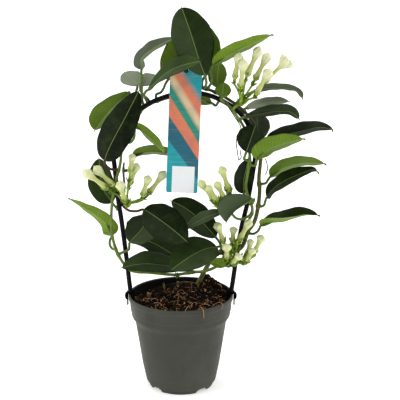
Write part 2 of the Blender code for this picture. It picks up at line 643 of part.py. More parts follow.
def leaf(row, paths, parts):
    """A closed loft: round petiole from the shoot to the blade, then the folded blade to its tip."""
    name, width, face, fold, belly, elbows, midrib = row
    first = elbows[0] if elbows else midrib[0]
    foot, shoot_radius = nearest_shoot(np.array(first, float), paths)
    path = smooth([tuple(foot)] + elbows + midrib)
    blade_start = distances(path)[12 * (len(elbows) + 1)]
    kept = clear_of(path, foot, shoot_radius + GAP + 0.25)
    blade_start -= distances(path)[-1] - distances(kept)[-1]
    path, length = kept, distances(kept)[-1]
    places = list(np.linspace(0, blade_start, 2 + max(1, len(elbows)), endpoint=False))
    places += [blade_start + (length - blade_start) * s for s in (0.0,) + BLADE_STATIONS]
    centres = at(path, places)
    tangents = [unit(at(path, [min(s + 1, length)])[0] - at(path, [max(s - 1, 0)])[0]) for s in places]
    blade_from = len(places) - len(BLADE_STATIONS) - 1
    ups = [square_to(d, t) for d, t in zip(facing(face, len(BLADE_STATIONS) + 1), tangents[blade_from:])]
    ups = carried(ups[0], tangents[:blade_from][::-1])[::-1] + ups
    rings = []
    for k, (centre, tangent, up) in enumerate(zip(centres, tangents, ups)):
        side = np.cross(tangent, up)
        if k <= blade_from:
            rings.append(leaf_ring(centre, side, up, PETIOLE_RADIUS, 0, 2 * PETIOLE_RADIUS, 0.7))
            continue
        half = blade_half_width(BLADE_STATIONS[k - blade_from - 1], width, belly)
        rings.append(leaf_ring(centre, side, up, half, fold, BLADE_THICKNESS, 0.5))
    return add_object("leaf_" + name, loft(rings, path[0], path[-1]), parts, "leaf")


# ---------------------------------------------------------------- flowers

def bud(origin, foot, end, head):
    """Mesh of one bud with its pedicel, from the end of the stalk to the end of the head."""
    origin, foot, end = (np.array(p, float) for p in (origin, foot, end))
    axis = unit(end - foot)
    length = np.linalg.norm(end - foot)
    bend = foot - axis * min(4.0, np.linalg.norm(foot - origin) * 0.3)
    pedicel = smooth([origin, (origin + bend) / 2 + 0.1 * (bend - origin) * axis, bend, foot])
    reach = distances(pedicel)[-1]
    centres = list(at(pedicel, [0, reach * 0.5, reach * 0.85]))
    radii = [PEDICEL_RADIUS] * 3
    for share, tube, bulb in BUD_PROFILE:
        centres.append(foot + axis * length * share)
        radii.append(TUBE_RADIUS * tube + head * bulb)
    centres = np.array(centres)
    tangents = directions(centres)
    sides = carried(np.array([1.0, 0.3, 0.2]), tangents)
    rings = [round_ring(c, s, np.cross(t, s), r) for c, s, t, r in zip(centres, sides, tangents, radii)]
    return loft(rings, origin - tangents[0] * 0.5, end)


def cluster(name, paths, parts, cutters):
    """One grown piece: the stalk and all of its buds joined."""
    origin, buds = CLUSTERS[name]
    origin = np.array(origin, float)
    foot, shoot_radius = nearest_shoot(origin, paths)
    line = np.linspace(foot, origin, 12)
    line = clear_of(line, foot, shoot_radius + GAP + 0.25)[[0, -1]]
    tangent = unit(origin - foot)
    side = square_to(np.array([1.0, 0.2, 0.1]), tangent)
    rings = [round_ring(p, side, np.cross(tangent, side), STALK_RADIUS) for p in line]
    obj = add_object(name, loft(rings, line[0], origin + tangent * 1.6), parts, "flowers")
    joined = bpy.data.collections.new(name + "_buds")
    cutters.children.link(joined)
    for k, (base, end, head) in enumerate(buds):
        add_cutter(f"{name}_bud_{k}", bud(origin, base, end, head), joined)
    boolean(obj, "UNION", joined)
    return obj


def main():
    clear_scene()
    parts = new_collection("potted_madagascar_jasmine")
    cutters = new_collection("cutters", hidden=True)
    paths = shoot_paths()

    pot(parts, cutters)
    ground = soil(parts)
    main_foot = evenly(paths["stem_right"], SHOOT_SPACING)[:5]
    soil_pocket(ground, main_foot, SHOOTS["stem_right"][0] + GAP + 0.1, cutters)
    for name, (points, radius) in STUBS.items():
        soil_pocket(ground, points, radius + GAP, cutters)
        rod(name, points, [radius] * len(points), parts, "stub")
    for side in (-1, 1):
        pocket = add_cutter("saddle_pocket", box_mesh((SADDLE_PLATE + 4, SADDLE_WIDTH + 1, 40)), cutters)
        pocket.location = Vector((55.2 * side, 0, 103)) * MM
        boolean(ground, "DIFFERENCE", pocket)

    hoop(parts, cutters)
    tag(parts, cutters)
    tag_hook(parts)
    for name, points in TIES.items():
        tie(name, points, parts)
    for name, path in paths.items():
        shoot(name, path, parts)
    for row in LEAVES:
        leaf(row, paths, parts)
    for name in CLUSTERS:
        cluster(name, paths, parts, cutters)


if __name__ == "__main__":
    main()
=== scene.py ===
"""Dresses a potted madagascar jasmine: waxy leaves, flower sprays, shoots, hoop, tag, pot and soil.

Every operator builds one kind of piece round the solid model of the plant, in metres. Places and
sizes come from the solid model; the settings hold the finer detail and the colours.
"""

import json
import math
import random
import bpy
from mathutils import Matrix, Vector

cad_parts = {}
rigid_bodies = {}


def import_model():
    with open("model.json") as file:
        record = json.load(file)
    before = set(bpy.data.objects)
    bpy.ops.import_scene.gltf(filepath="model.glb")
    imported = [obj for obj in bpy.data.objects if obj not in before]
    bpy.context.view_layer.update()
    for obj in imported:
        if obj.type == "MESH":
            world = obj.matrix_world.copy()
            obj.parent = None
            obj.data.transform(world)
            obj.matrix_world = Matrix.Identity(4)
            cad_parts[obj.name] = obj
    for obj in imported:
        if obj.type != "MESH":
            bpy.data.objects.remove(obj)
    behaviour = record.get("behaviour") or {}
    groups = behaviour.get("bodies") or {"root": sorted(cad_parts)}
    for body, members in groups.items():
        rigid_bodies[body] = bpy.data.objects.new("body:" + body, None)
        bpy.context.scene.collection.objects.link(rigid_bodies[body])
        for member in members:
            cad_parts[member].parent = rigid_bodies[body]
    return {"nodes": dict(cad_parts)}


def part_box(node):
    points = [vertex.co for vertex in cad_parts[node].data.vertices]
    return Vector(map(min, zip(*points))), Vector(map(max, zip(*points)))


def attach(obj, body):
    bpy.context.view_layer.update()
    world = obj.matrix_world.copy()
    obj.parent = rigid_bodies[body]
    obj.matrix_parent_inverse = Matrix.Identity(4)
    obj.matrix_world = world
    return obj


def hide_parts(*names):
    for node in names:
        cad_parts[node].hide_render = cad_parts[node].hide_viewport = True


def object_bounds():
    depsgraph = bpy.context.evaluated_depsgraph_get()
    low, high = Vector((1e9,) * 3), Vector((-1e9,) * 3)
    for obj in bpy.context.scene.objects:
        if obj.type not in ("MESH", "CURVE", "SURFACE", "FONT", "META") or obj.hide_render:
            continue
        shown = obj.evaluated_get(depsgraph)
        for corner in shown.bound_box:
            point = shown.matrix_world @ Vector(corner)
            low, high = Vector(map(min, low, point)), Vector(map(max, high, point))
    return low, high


bl_info = {
    "name": "Potted Jasmine",
    "version": (1, 0, 0),
    "blender": (4, 5, 0),
    "location": "3D View > Sidebar > Jasmine",
    "description": "Builds the leaves, flowers, shoots, pot and stage of a potted madagascar jasmine",
    "category": "Add Mesh",
}

import bmesh
import bpy
import numpy as np
from bpy.props import FloatProperty, FloatVectorProperty, IntProperty, PointerProperty
from mathutils import Matrix, Vector

for startup_item in list(bpy.data.objects):
    bpy.data.objects.remove(startup_item, do_unlink=True)
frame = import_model()
SOLID_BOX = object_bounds()

MM = 0.001
TURN = 2 * math.pi
FLAT = 0.1                # metres along a surface for one UV unit
ROUND = 8                 # points in every section of the solid leaves, shoots and buds
BLADE_SECTIONS = 6        # sections of a solid leaf between its petiole and its tip
WELD = 1e-6               # points of a solid closer than this are one point
EDGE_ROOM = 1.0 * MM      # how far the dry points of leaves stay inside the solid model's box
WHITE = (1, 1, 1, 1)


def shade(red, green, blue):
    """A linear colour from its three 0 to 255 display values."""
    parts = (c / 255 for c in (red, green, blue))
    return tuple(c / 12.92 if c < 0.04 else ((c + 0.055) / 1.055) ** 2.4 for c in parts)


def scaled(tint, factor):
    return tuple(c * factor for c in tint)


def colour(label, about, *values):
    return FloatVectorProperty(name=label, description=about, subtype="COLOR", size=3, min=0, max=1,
                               default=shade(*values))


def number(label, about, value, **limits):
    return FloatProperty(name=label, description=about, default=value, **{"min": 0, **limits})


def length(label, about, millimetres):
    return number(label, about, millimetres * MM, unit="LENGTH")


def whole(label, about, value):
    return IntProperty(name=label, description=about, default=value, min=10)


# ---------------------------------------------------------------- settings

class LeafSettings(bpy.types.PropertyGroup):
    rows: whole("Rows", "Sections along each blade", 40)
    wave: length("Edge wave", "How far the edge of a blade waves up and down", 0.35)
    groove: length("Midrib groove", "Depth of the groove over the midrib", 0.35)
    rib: length("Midrib ridge", "Height of the ridge under the midrib", 0.7)
    half_thickness: length("Half thickness", "Half of the thickness of a blade", 0.3)
    vein_spacing: length("Vein spacing", "Distance between side veins along the midrib", 6.5)
    upper_dark: colour("Upper side, old", "Upper side of the oldest leaves", 9, 17, 5)
    upper_fresh: colour("Upper side, young", "Upper side of the youngest leaves", 68, 90, 44)
    under_dark: colour("Underside, old", "Underside of the oldest leaves", 52, 72, 20)
    under_fresh: colour("Underside, young", "Underside of the youngest leaves", 108, 136, 36)
    midrib: colour("Midrib", "Midrib and main veins", 132, 148, 88)
    # Painted sheen: the half of an upper side that faces the light is mixed towards this colour
    sheen: colour("Sheen", "Paler half of an upper side", 96, 108, 84)
    # Painted sheen: the pale grey of upper sides that catch the light
    bloom: colour("Bloom", "Pale waxy bloom of some leaves", 158, 164, 144)
    petiole: colour("Petiole", "Stalk of a leaf", 90, 114, 42)
    ripe: colour("Ripe petiole", "Red brown stalk of an older leaf", 66, 38, 22)
    hook: length("Hooked point", "Length of the dry hooked point of a leaf", 3.4)


class FlowerSettings(bpy.types.PropertyGroup):
    rows: whole("Rows", "Sections along each bud", 34)
    sides: whole("Sides", "Points round each bud", 25)
    sepal_length: length("Sepal length", "Length of each of the five sepals", 8.4)
    pedicel: length("Pedicel", "Radius of the stalk of one bud", 1.2)
    head: colour("Head", "Waxy cream of the heads and lobes", 214, 215, 178)
    tube: colour("Tube", "Pale green of the tubes", 186, 190, 124)
    young: colour("Young head", "Yellow green of the heads of a young spray", 196, 208, 118)
    foot: colour("Foot", "Yellow green at the foot of a tube", 160, 180, 78)
    stalk: colour("Stalk", "Green of the stalks and sepals", 146, 174, 56)
    # Painted shade: a shaded copy of the stalk green, mixed over the stalks in random clouds
    shaded: colour("Shaded green", "Dark green patches of stalks and sepals", 82, 110, 24)


class ShootSettings(bpy.types.PropertyGroup):
    spacing: length("Section spacing", "Distance between sections along a shoot", 1.4)
    swelling: number("Swelling", "How much a shoot thickens at a leaf", 0.42, subtype="FACTOR", max=1)
    roughness: length("Unevenness", "Height of the bumps of the bark", 0.22)
    green: colour("Green shoot", "Young green shoots", 70, 88, 34)
    bark: colour("Woody shoot", "Olive bark of the main shoot", 68, 80, 36)
    wire: colour("Twist tie", "Coating of the twist ties", 16, 17, 14)


class PotSettings(bpy.types.PropertyGroup):
    steps: whole("Steps", "Sections round the pot", 112)
    lip: length("Edge radius", "Radius of the rounded edges", 1.4)
    wall: colour("Plastic", "Grey plastic of the pot", 60, 61, 54)
    stain: colour("Stain", "Smears of dried soil on the wall", 82, 78, 62)
    # Painted shade: the inner wall darkened to stand for the shadow inside the pot
    inside: colour("Inside", "Inner wall, dark with old soil", 14, 15, 14)
    hoop: colour("Hoop", "Black plastic of the hoop and hook", 9, 9, 10)


class SoilSettings(bpy.types.PropertyGroup):
    lumps: length("Lumps", "Height of the lumps of the heap", 7)
    crumbs: number("Crumbs", "Crumbs per square metre", 240000)
    fibres: number("Fibres", "Thin fibres per square metre", 9000)
    curls: number("Curls", "Thick coir curls per square metre", 2300)
    chips: number("Chips", "Wood chips per square metre", 5200)
    grit: number("Grit", "Pale grains per square metre", 16000)
    peat: colour("Peat", "Dark crumbs", 16, 9, 6)
    brown: colour("Brown peat", "Lighter crumbs", 50, 29, 18)
    coir: colour("Coir", "Orange brown fibres", 222, 164, 112)
    chip: colour("Chip", "Pale wood chips", 226, 196, 152)


class TagSettings(bpy.types.PropertyGroup):
    bow: length("Bow", "How far the middle of the card bows forward", 0.6)
    teal: colour("Teal", "Main colour", 16, 152, 160)
    deep: colour("Deep teal", "Dark colour", 28, 92, 110)
    coral: colour("Coral", "Warm colour", 208, 116, 84)
    sand: colour("Sand", "Pale warm colour", 206, 180, 146)
    green: colour("Green", "Green of the bands", 34, 130, 110)
    panel: colour("Panel", "Blank pale panel", 226, 229, 230)


class StageSettings(bpy.types.PropertyGroup):
    distance: length("Camera distance", "Distance from the hoop's plane to the camera", 1316)
    height: length("Camera height", "Height of the camera", 581)
    aside: length("Camera offset", "Distance of the camera to the right of the pot's axis", 22)
    tilt: number("Camera tilt", "How far the camera looks down", math.radians(15.3),
                 subtype="ANGLE")
    lens: number("Lens", "Focal length of the camera, in millimetres", 109.17, min=20)
    floor: colour("Floor", "Pale floor", 246, 246, 246)
    glow: number("Floor glow", "Extra light from the floor", 0.4)
    ambient: number("Ambient", "Light from in front", 0.12)
    sides: number("Side light", "Soft light from both sides", 0.75)
    sky: number("Top light", "Soft light from above", 0.55)
    side_power: number("Side lamps", "Power of the side lamps", 12, unit="POWER")
    top_power: number("Top lamp", "Power of the top lamp", 14, unit="POWER")


# ---------------------------------------------------------------- curves and sections

def unit(v):
    return v / np.linalg.norm(v, axis=-1, keepdims=True)


def square_to(v, axis):
    return unit(v - axis * np.sum(v * axis, axis=-1, keepdims=True))


def run(points):
    """Distance from the first point to each point along a path."""
    steps = np.linalg.norm(np.diff(points, axis=0), axis=1)
    return np.concatenate([[0], np.cumsum(steps)])


def smooth(places, values, where):
    """Values on a smooth curve through values given at rising places."""
    places, values = np.asarray(places, float), np.asarray(values, float)
    slopes = np.gradient(values, places, axis=0)
    i = np.clip(np.searchsorted(places, where, side="right") - 1, 0, len(places) - 2)
    span = places[i + 1] - places[i]
    t = (where - places[i]) / span
    if values.ndim > 1:
        t, span = t[:, None], span[:, None]
    return ((2 * t**3 - 3 * t**2 + 1) * values[i] + (t**3 - 2 * t**2 + t) * span * slopes[i]
            + (3 * t**2 - 2 * t**3) * values[i + 1] + (t**3 - t**2) * span * slopes[i + 1])


def resampled(points, steps):
    """Evenly spaced points on a smooth curve through the given ones."""
    places = run(points)
    return smooth(places, points, np.linspace(0, places[-1], steps))


def bell(x, width):
    """1 at zero, falling off smoothly over the width."""
    return np.exp(-(x / width) ** 2)


def around(steps):
    """Evenly spread angles of one turn."""
    return np.linspace(0, TURN, steps, endpoint=False)


def frames_along(points, first):
    """Directions and steady side vectors along a path."""
    ahead = unit(np.gradient(points, axis=0))
    sides = [square_to(first, ahead[0])]
    for direction in ahead[1:]:
        sides.append(square_to(sides[-1], direction))
    return ahead, np.array(sides)


# ---------------------------------------------------------------- objects

def linked(name, data):
    """A new object in the scene."""
    obj = bpy.data.objects.new(name, data)
    bpy.context.scene.collection.objects.link(obj)
    return obj


def built(name, work, materials=()):
    """A new object from a working mesh, which ends here."""
    mesh = bpy.data.meshes.new(name)
    work.to_mesh(mesh)
    work.free()
    for item in materials:
        mesh.materials.append(item)
    return linked(name, mesh)


def outcome(obj):
    """The plain mesh that an object's modifiers make; they are taken off."""
    graph = bpy.context.evaluated_depsgraph_get()
    mesh = bpy.data.meshes.new_from_object(obj.evaluated_get(graph), depsgraph=graph)
    obj.modifiers.clear()
    return mesh


def drop(*objects):
    for obj in objects:
        bpy.data.objects.remove(obj, do_unlink=True)


def mark(mesh, label, values, kind="FLOAT"):
    """Stores a value at each point of a mesh, for node trees to read."""
    field = "value" if kind == "FLOAT" else "vector"
    mesh.attributes.new(label, kind, "POINT").data.foreach_set(field, values)


def settle(obj, slot, *nodes):
    """Attaches a finished piece to the root body and hides the solids that it stands for. The slot is not
    used.
    """
    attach(obj, "root")
    if nodes:
        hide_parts(*nodes)
    return obj


class Shell:
    """Vertices, faces, material numbers and two UV values a vertex, for one mesh."""

    def __init__(self):
        self.points, self.faces, self.kinds, self.flat = [], [], [], []

    def add(self, points, flat):
        first = len(self.points)
        self.points += [tuple(p) for p in points]
        self.flat += [tuple(f) for f in flat]
        return first

    def loft(self, rings, flats, kind, ends=(None, None), end_flats=((0, 0), (0, 0))):
        """Closed loft through rings of equally many points, with a middle point at each end."""
        rings = np.asarray(rings)
        count = rings.shape[1]
        ends = [rings[k].mean(0) if e is None else e for k, e in zip((0, -1), ends)]
        first = self.add(rings.reshape(-1, 3), np.asarray(flats).reshape(-1, 2))
        low, high = self.add(ends, end_flats), len(self.points) - 1
        kinds = kind if callable(kind) else (lambda j: kind)
        for i in range(len(rings) - 1):
            a, b = first + i * count, first + (i + 1) * count
            for j in range(count):
                k = (j + 1) % count
                self.faces.append((a + j, a + k, b + k, b + j))
                self.kinds.append(kinds(j))
        last = first + (len(rings) - 1) * count
        for j in range(count):
            k = (j + 1) % count
            self.faces += [(low, first + k, first + j), (high, last + j, last + k)]
            self.kinds += [kinds(j)] * 2

    def tube(self, points, radii, sides, kind):
        """Round closed tube along a path."""
        points = np.asarray(points, float)
        ahead, across = frames_along(points, np.array([0.31, 0.87, 0.41]))
        over = np.cross(ahead, across)
        turns = around(sides)
        spokes = (across[:, None] * np.cos(turns)[None, :, None]
                  + over[:, None] * np.sin(turns)[None, :, None])
        rings = points[:, None] + spokes * np.asarray(radii)[:, None, None]
        flats = np.zeros((len(points), sides, 2))
        flats[:, :, 0] = turns / TURN
        flats[:, :, 1] = (run(points) / FLAT)[:, None]
        self.loft(rings, flats, kind)

    def mesh(self, name, materials=()):
        """One object with smooth faces that point outwards."""
        made = bpy.data.meshes.new(name)
        made.from_pydata(self.points, [], self.faces)
        made.polygons.foreach_set("material_index", self.kinds)
        layer = made.uv_layers.new(name="flat")
        corners = np.zeros(len(made.loops), int)
        made.loops.foreach_get("vertex_index", corners)
        layer.data.foreach_set("uv", np.array(self.flat, float)[corners].ravel())
        for item in materials:
            made.materials.append(item)
        work = bmesh.new()
        work.from_mesh(made)
        bmesh.ops.recalc_face_normals(work, faces=work.faces)
        work.to_mesh(made)
        work.free()
        made.shade_smooth()
        return linked(name, made)


# ---------------------------------------------------------------- reading the solid model

def welded(node):
    """A working mesh of one solid with its loose triangles joined."""
    work = bmesh.new()
    work.from_mesh(frame["nodes"][node].data)
    bmesh.ops.remove_doubles(work, verts=work.verts, dist=WELD)
    work.verts.index_update()
    work.verts.ensure_lookup_table()
    return work


def layers_from(vertex):
    """Sets of vertices met one edge at a time from a tip, while each is a full section."""
    seen, level, found = {vertex}, [vertex], []
    while True:
        near = {e.other_vert(v) for v in level for e in v.link_edges} - seen
        if len(near) != ROUND:
            return found
        seen |= near
        level = sorted(near, key=lambda v: v.index)
        found.append(level)


def in_order(level):
    """The points of one section in order round it, following its edges."""
    members, ring = set(level), [level[0]]
    while len(ring) < len(level):
        near = [e.other_vert(ring[-1]) for e in ring[-1].link_edges]
        ring.append(min((v for v in near if v in members and v not in ring), key=lambda v: v.index))
    return np.array([v.co for v in ring])


def middle(level):
    return np.mean([np.array(v.co) for v in level], axis=0)


def girth(level):
    centre = middle(level)
    return float(np.mean([np.linalg.norm(np.array(v.co) - centre) for v in level]))


def tube_line(node, reach):
    """Middle points and radii along a solid tube whose sections have edges shorter than the reach."""
    work = welded(node)
    owner = {v: v for v in work.verts}

    def root(v):
        while owner[v] != v:
            v = owner[v]
        return v
    for edge in work.edges:
        a, b = map(root, edge.verts)
        if edge.calc_length() < reach and a != b:
            owner[b] = a
    groups = {}
    for v in work.verts:
        groups.setdefault(root(v), []).append(v)
    full = {key for key, level in groups.items() if len(level) == ROUND}
    near = {key: set() for key in full}
    for edge in work.edges:
        a, b = map(root, edge.verts)
        if a != b and a in full and b in full:
            near[a].add(b)
            near[b].add(a)
    line = [min((key for key in full if len(near[key]) == 1), key=lambda v: v.index)]
    while True:
        ahead = [key for key in near[line[-1]] if key not in line]
        if not ahead:
            break
        line.append(ahead[0])
    points = np.array([middle(groups[key]) for key in line])
    radii = np.array([girth(groups[key]) for key in line])
    work.free()
    return points, radii


SHOOTS = ("stem_right", "stem_right_inner", "stem_left", "stem_left_inner")
SHOOT_REACH = 2.3 * MM    # longer than the edges round the shoots
STUB_REACH = 1.6 * MM     # longer than the edges round the dead stubs
shoot_lines = {name: tube_line(name, SHOOT_REACH) for name in SHOOTS}


def nearest_on_shoots(point):
    """Closest point of any shoot's middle line."""
    best = None
    for line, _ in shoot_lines.values():
        for a, b in zip(line[:-1], line[1:]):
            place = a + np.clip(np.dot(point - a, b - a) / np.dot(b - a, b - a), 0, 1) * (b - a)
            away = np.linalg.norm(point - place)
            if best is None or away < best[0]:
                best = (away, place)
    return best[1]


def inside_shoot(foot, share):
    """A point the given share of the way from a foot to the middle of its shoot."""
    return foot + (nearest_on_shoots(foot) - foot) * share


def leaf_plan(node):
    """Petiole and blade of one solid leaf: middle points, half widths, lifts and directions."""
    work = welded(node)
    tip = next(v for v in work.verts if len(v.link_edges) == ROUND)
    levels = layers_from(tip)
    blade = [in_order(level) for level in levels[:BLADE_SECTIONS]][::-1]
    stalk = levels[BLADE_SECTIONS:][::-1]
    centres, sides, ups, halves, lifts = [], [], [], [], []
    for ring in blade:
        spans = [np.linalg.norm(ring[k] - ring[k + 4]) for k in range(4)]
        k = int(np.argmax(spans))
        left, above, right, below = (ring[(k + n) % ROUND] for n in (0, 2, 4, 6))
        if ups and np.dot(above - below, ups[-1]) < 0:
            above, below = below, above
        if sides and np.dot(right - left, sides[-1]) < 0:
            left, right = right, left
        centre = (above + below) / 2
        centres.append(centre)
        sides.append(unit(right - left))
        ups.append(unit(above - below))
        halves.append(np.linalg.norm(right - left) / 2)
        lifts.append(np.dot((left + right) / 2 - centre, ups[-1]))
    flip = -1 if sum(lifts) < 0 else 1
    plan = {
        "centres": np.array([middle(stalk[-1])] + centres + [np.array(tip.co)]),
        "sides": np.array(sides) * flip, "ups": np.array(ups) * flip,
        "halves": np.array(halves), "lifts": np.array(lifts) * flip,
        "stalk": np.array([middle(level) for level in stalk]),
        "stalk_radius": girth(stalk[-1]),
    }
    work.free()
    return plan


def bud_levels(work):
    """Sections of every bud from its tip down, found from the tips."""
    found = []
    for tip in (v for v in work.verts if len(v.link_edges) == ROUND):
        levels = layers_from(tip)
        if len(levels) >= 5 and max(girth(level) for level in levels[:4]) > 2 * MM:
            found.append((np.array(tip.co), levels))
    return found


def spray_plan(node):
    """Buds, pedicels and stalk of one solid spray of flowers."""
    work = welded(node)
    buds = []
    for tip, levels in bud_levels(work):
        middles = np.array([middle(level) for level in levels[:6]])[::-1]
        radii = np.array([girth(level) for level in levels[:6]])[::-1]
        stem = [middle(level) for level in levels[6:8]]
        buds.append((np.vstack([middles, tip]), np.append(radii, 0.0), stem))
    starts = [2 * stem[1] - line[0] for line, _, stem in buds if len(stem) == 2]
    origin = np.median(starts, axis=0)
    points = np.array([v.co for v in work.verts])
    away = [np.linalg.norm(p - nearest_on_shoots(p)) for p in points]
    foot = points[np.argsort(away)[:ROUND]].mean(0)
    work.free()
    return buds, origin, foot


def plans(family, make):
    """Plans of every solid whose name starts with the family's."""
    return {node: make(node) for node in sorted(frame["nodes"]) if node.startswith(family)}


leaf_plans = plans("leaf_", leaf_plan)
spray_plans = plans("flowers_", spray_plan)


# ---------------------------------------------------------------- node trees

class Nodes:
    """A node tree under construction."""

    family = "ShaderNode"

    def __init__(self, tree):
        self.tree = tree

    def node(self, kind, inputs=None, output=0, **settings):
        """Adds a node, fills or links its inputs, and returns one of its outputs."""
        made = self.tree.nodes.new(kind if "Node" in kind else self.family + kind)
        for label, value in settings.items():
            setattr(made, label, value)
        for key, value in (inputs or {}).items():
            if isinstance(value, bpy.types.NodeSocket):
                self.tree.links.new(value, made.inputs[key])
            else:
                made.inputs[key].default_value = value
        return made.outputs[output]

    def maths(self, operation, *values):
        return self.node("ShaderNodeMath", dict(enumerate(values)), operation=operation)

    def times(self, first, second):
        return self.maths("MULTIPLY", first, second)

    def plus(self, first, second):
        return self.maths("ADD", first, second)

    def minus(self, first, second):
        return self.maths("SUBTRACT", first, second)

    def over_zero(self, value):
        return self.maths("MAXIMUM", value, 0.0)

    def fade(self, value, low, high, bottom=0.0, top=1.0):
        """Maps low to high smoothly onto bottom to top."""
        return self.node("ShaderNodeMapRange", {"Value": value, "From Min": low, "From Max": high,
                                                "To Min": bottom, "To Max": top},
                         interpolation_type="SMOOTHSTEP")


class Recipe(Nodes):
    """A Principled material under construction."""

    def __init__(self, name, roughness, gloss, **sockets):
        self.material = bpy.data.materials.new(name)
        self.material.use_nodes = True
        super().__init__(self.material.node_tree)
        self.sockets = self.tree.nodes["Principled BSDF"].inputs
        for label, value in {"Roughness": roughness, "Specular IOR Level": gloss, **sockets}.items():
            self.sockets[label.replace("_", " ")].default_value = value

    def read(self, label, output="Fac"):
        return self.node("Attribute", output=output, attribute_name=label)

    def object_place(self, scale=(1, 1, 1)):
        return self.node("Mapping", {"Vector": self.node("TexCoord", output="Object"), "Scale": scale})

    def flat_place(self):
        """The two UV values, apart."""
        pair = self.node("SeparateXYZ", {0: self.node("UVMap", uv_map="flat")})
        return pair, pair.node.outputs[1]

    def noise(self, scale, detail=3.0, place=None, rough=0.55):
        return self.node("TexNoise", {"Vector": place or self.object_place(), "Scale": scale,
                                      "Detail": detail, "Roughness": rough})

    def stretched(self, scale, detail, rough=0.55):
        """Noise with its own scale along each axis."""
        return self.noise(1, detail, self.object_place(scale), rough)

    def cells(self, scale, **settings):
        return self.node("TexVoronoi", {"Vector": self.object_place(), "Scale": scale}, **settings)

    def mix(self, share, first, second):
        made = self.tree.nodes.new("ShaderNodeMix")
        made.data_type = "RGBA"
        for key, value in ((0, share), (6, first), (7, second)):
            if isinstance(value, bpy.types.NodeSocket):
                self.tree.links.new(value, made.inputs[key])
            else:
                made.inputs[key].default_value = value if key == 0 else (*value[:3], 1)
        return made.outputs[2]

    def tinted(self, base, tint, mask, strength):
        return self.mix(self.times(mask, strength), base, tint)

    def clouded(self, base, tint, noise, *limits):
        """Patches of a tint over the base. The noise is a scale and detail or ready made; the limits are
        where it starts and ends, and the tint's share at each."""
        noise = self.noise(*noise) if isinstance(noise, tuple) else noise
        return self.mix(self.fade(noise, *limits), base, tint)

    def ramp(self, value, stops, smooth_stops=True):
        made = self.tree.nodes.new("ShaderNodeValToRGB")
        made.color_ramp.interpolation = "EASE" if smooth_stops else "LINEAR"
        while len(made.color_ramp.elements) < len(stops):
            made.color_ramp.elements.new(0.5)
        for element, (place, tint) in zip(made.color_ramp.elements, stops):
            element.position, element.color = place, (*tint[:3], 1)
        self.tree.links.new(value, made.inputs[0])
        return made.outputs[0]

    def finish(self, base, bump=None, strength=0.3, depth=0.4, roughness=None):
        if bump is not None:
            bump = self.node("Bump", {"Height": bump, "Strength": strength, "Distance": depth * MM})
        for label, value in (("Base Color", base), ("Roughness", roughness), ("Normal", bump)):
            if isinstance(value, bpy.types.NodeSocket):
                self.tree.links.new(value, self.sockets[label])
            elif value is not None:
                self.sockets[label].default_value = (*value, 1)
        return self.material


class Growth(Nodes):
    """A Geometry Nodes tree under construction, with named inputs."""

    family = "GeometryNode"

    def __init__(self, name):
        super().__init__(bpy.data.node_groups.new(name, "GeometryNodeTree"))
        for way in ("INPUT", "OUTPUT"):
            self.tree.interface.new_socket("Geometry", in_out=way, socket_type="NodeSocketGeometry")
        self.way_in = self.tree.nodes.new("NodeGroupInput")
        self.way_out = self.tree.nodes.new("NodeGroupOutput")

    def source(self):
        return self.way_in.outputs["Geometry"]

    def size(self, label, value, kind="Float"):
        """A named input with its default."""
        made = self.tree.interface.new_socket(label, in_out="INPUT", socket_type="NodeSocket" + kind)
        made.default_value = value
        return self.way_in.outputs[label]

    def read(self, label, kind="FLOAT"):
        return self.node("InputNamedAttribute", {"Name": label}, data_type=kind)

    def store(self, geometry, label, value, kind="FLOAT"):
        return self.node("StoreNamedAttribute", {"Geometry": geometry, "Name": label, "Value": value},
                         data_type=kind, domain="POINT")

    def by_chance(self, inputs, kind="FLOAT"):
        return self.node("FunctionNodeRandomValue", inputs, 0 if kind == "FLOAT_VECTOR" else 1,
                         data_type=kind)

    def model(self, obj):
        return self.node("ObjectInfo", {"Object": obj, "As Instance": True}, output=4)

    def finish(self, geometry, material):
        """Makes instances real, sets the material and ends the tree."""
        real = self.node("RealizeInstances", {"Geometry": geometry})
        smooth_faces = self.node("SetShadeSmooth", {"Geometry": real})
        done = self.node("SetMaterial", {"Geometry": smooth_faces, "Material": material})
        self.tree.links.new(done, self.way_out.inputs["Geometry"])
        return self.tree


def grown(name, source, tree, **sizes):
    """Runs a tree on an object and keeps the result as a plain mesh in a new object."""
    step = source.modifiers.new("growth", "NODES")
    step.node_group = tree
    for item in tree.interface.items_tree:
        key = item.name.replace(" ", "_").lower()
        if item.in_out == "INPUT" and key in sizes:
            step[item.identifier] = sizes[key]
    mesh = outcome(source)
    drop(source)
    if not mesh.polygons:
        raise RuntimeError(f"{name} came out empty")
    mesh.name = name
    return linked(name, mesh)


# ---------------------------------------------------------------- materials

def veins(recipe, spacing, waves=0.05):
    """Masks of the midrib, the side veins and the fine net between them."""
    across, along = recipe.flat_place()
    off = recipe.maths("ABSOLUTE", across)
    rib = recipe.fade(off, 0.0015, 0.0055, 1, 0)
    lean = recipe.minus(along, recipe.times(off, 0.5))
    lean = recipe.plus(lean, recipe.times(recipe.noise(55, 2), waves))
    phase = recipe.maths("FRACT", recipe.maths("DIVIDE", lean, spacing / FLAT))
    side = recipe.fade(recipe.maths("ABSOLUTE", recipe.minus(phase, 0.5)), 0.40, 0.5)
    net = recipe.cells(620, feature="DISTANCE_TO_EDGE")
    return rib, side, recipe.fade(net, 0.0, 0.12, 1, 0)


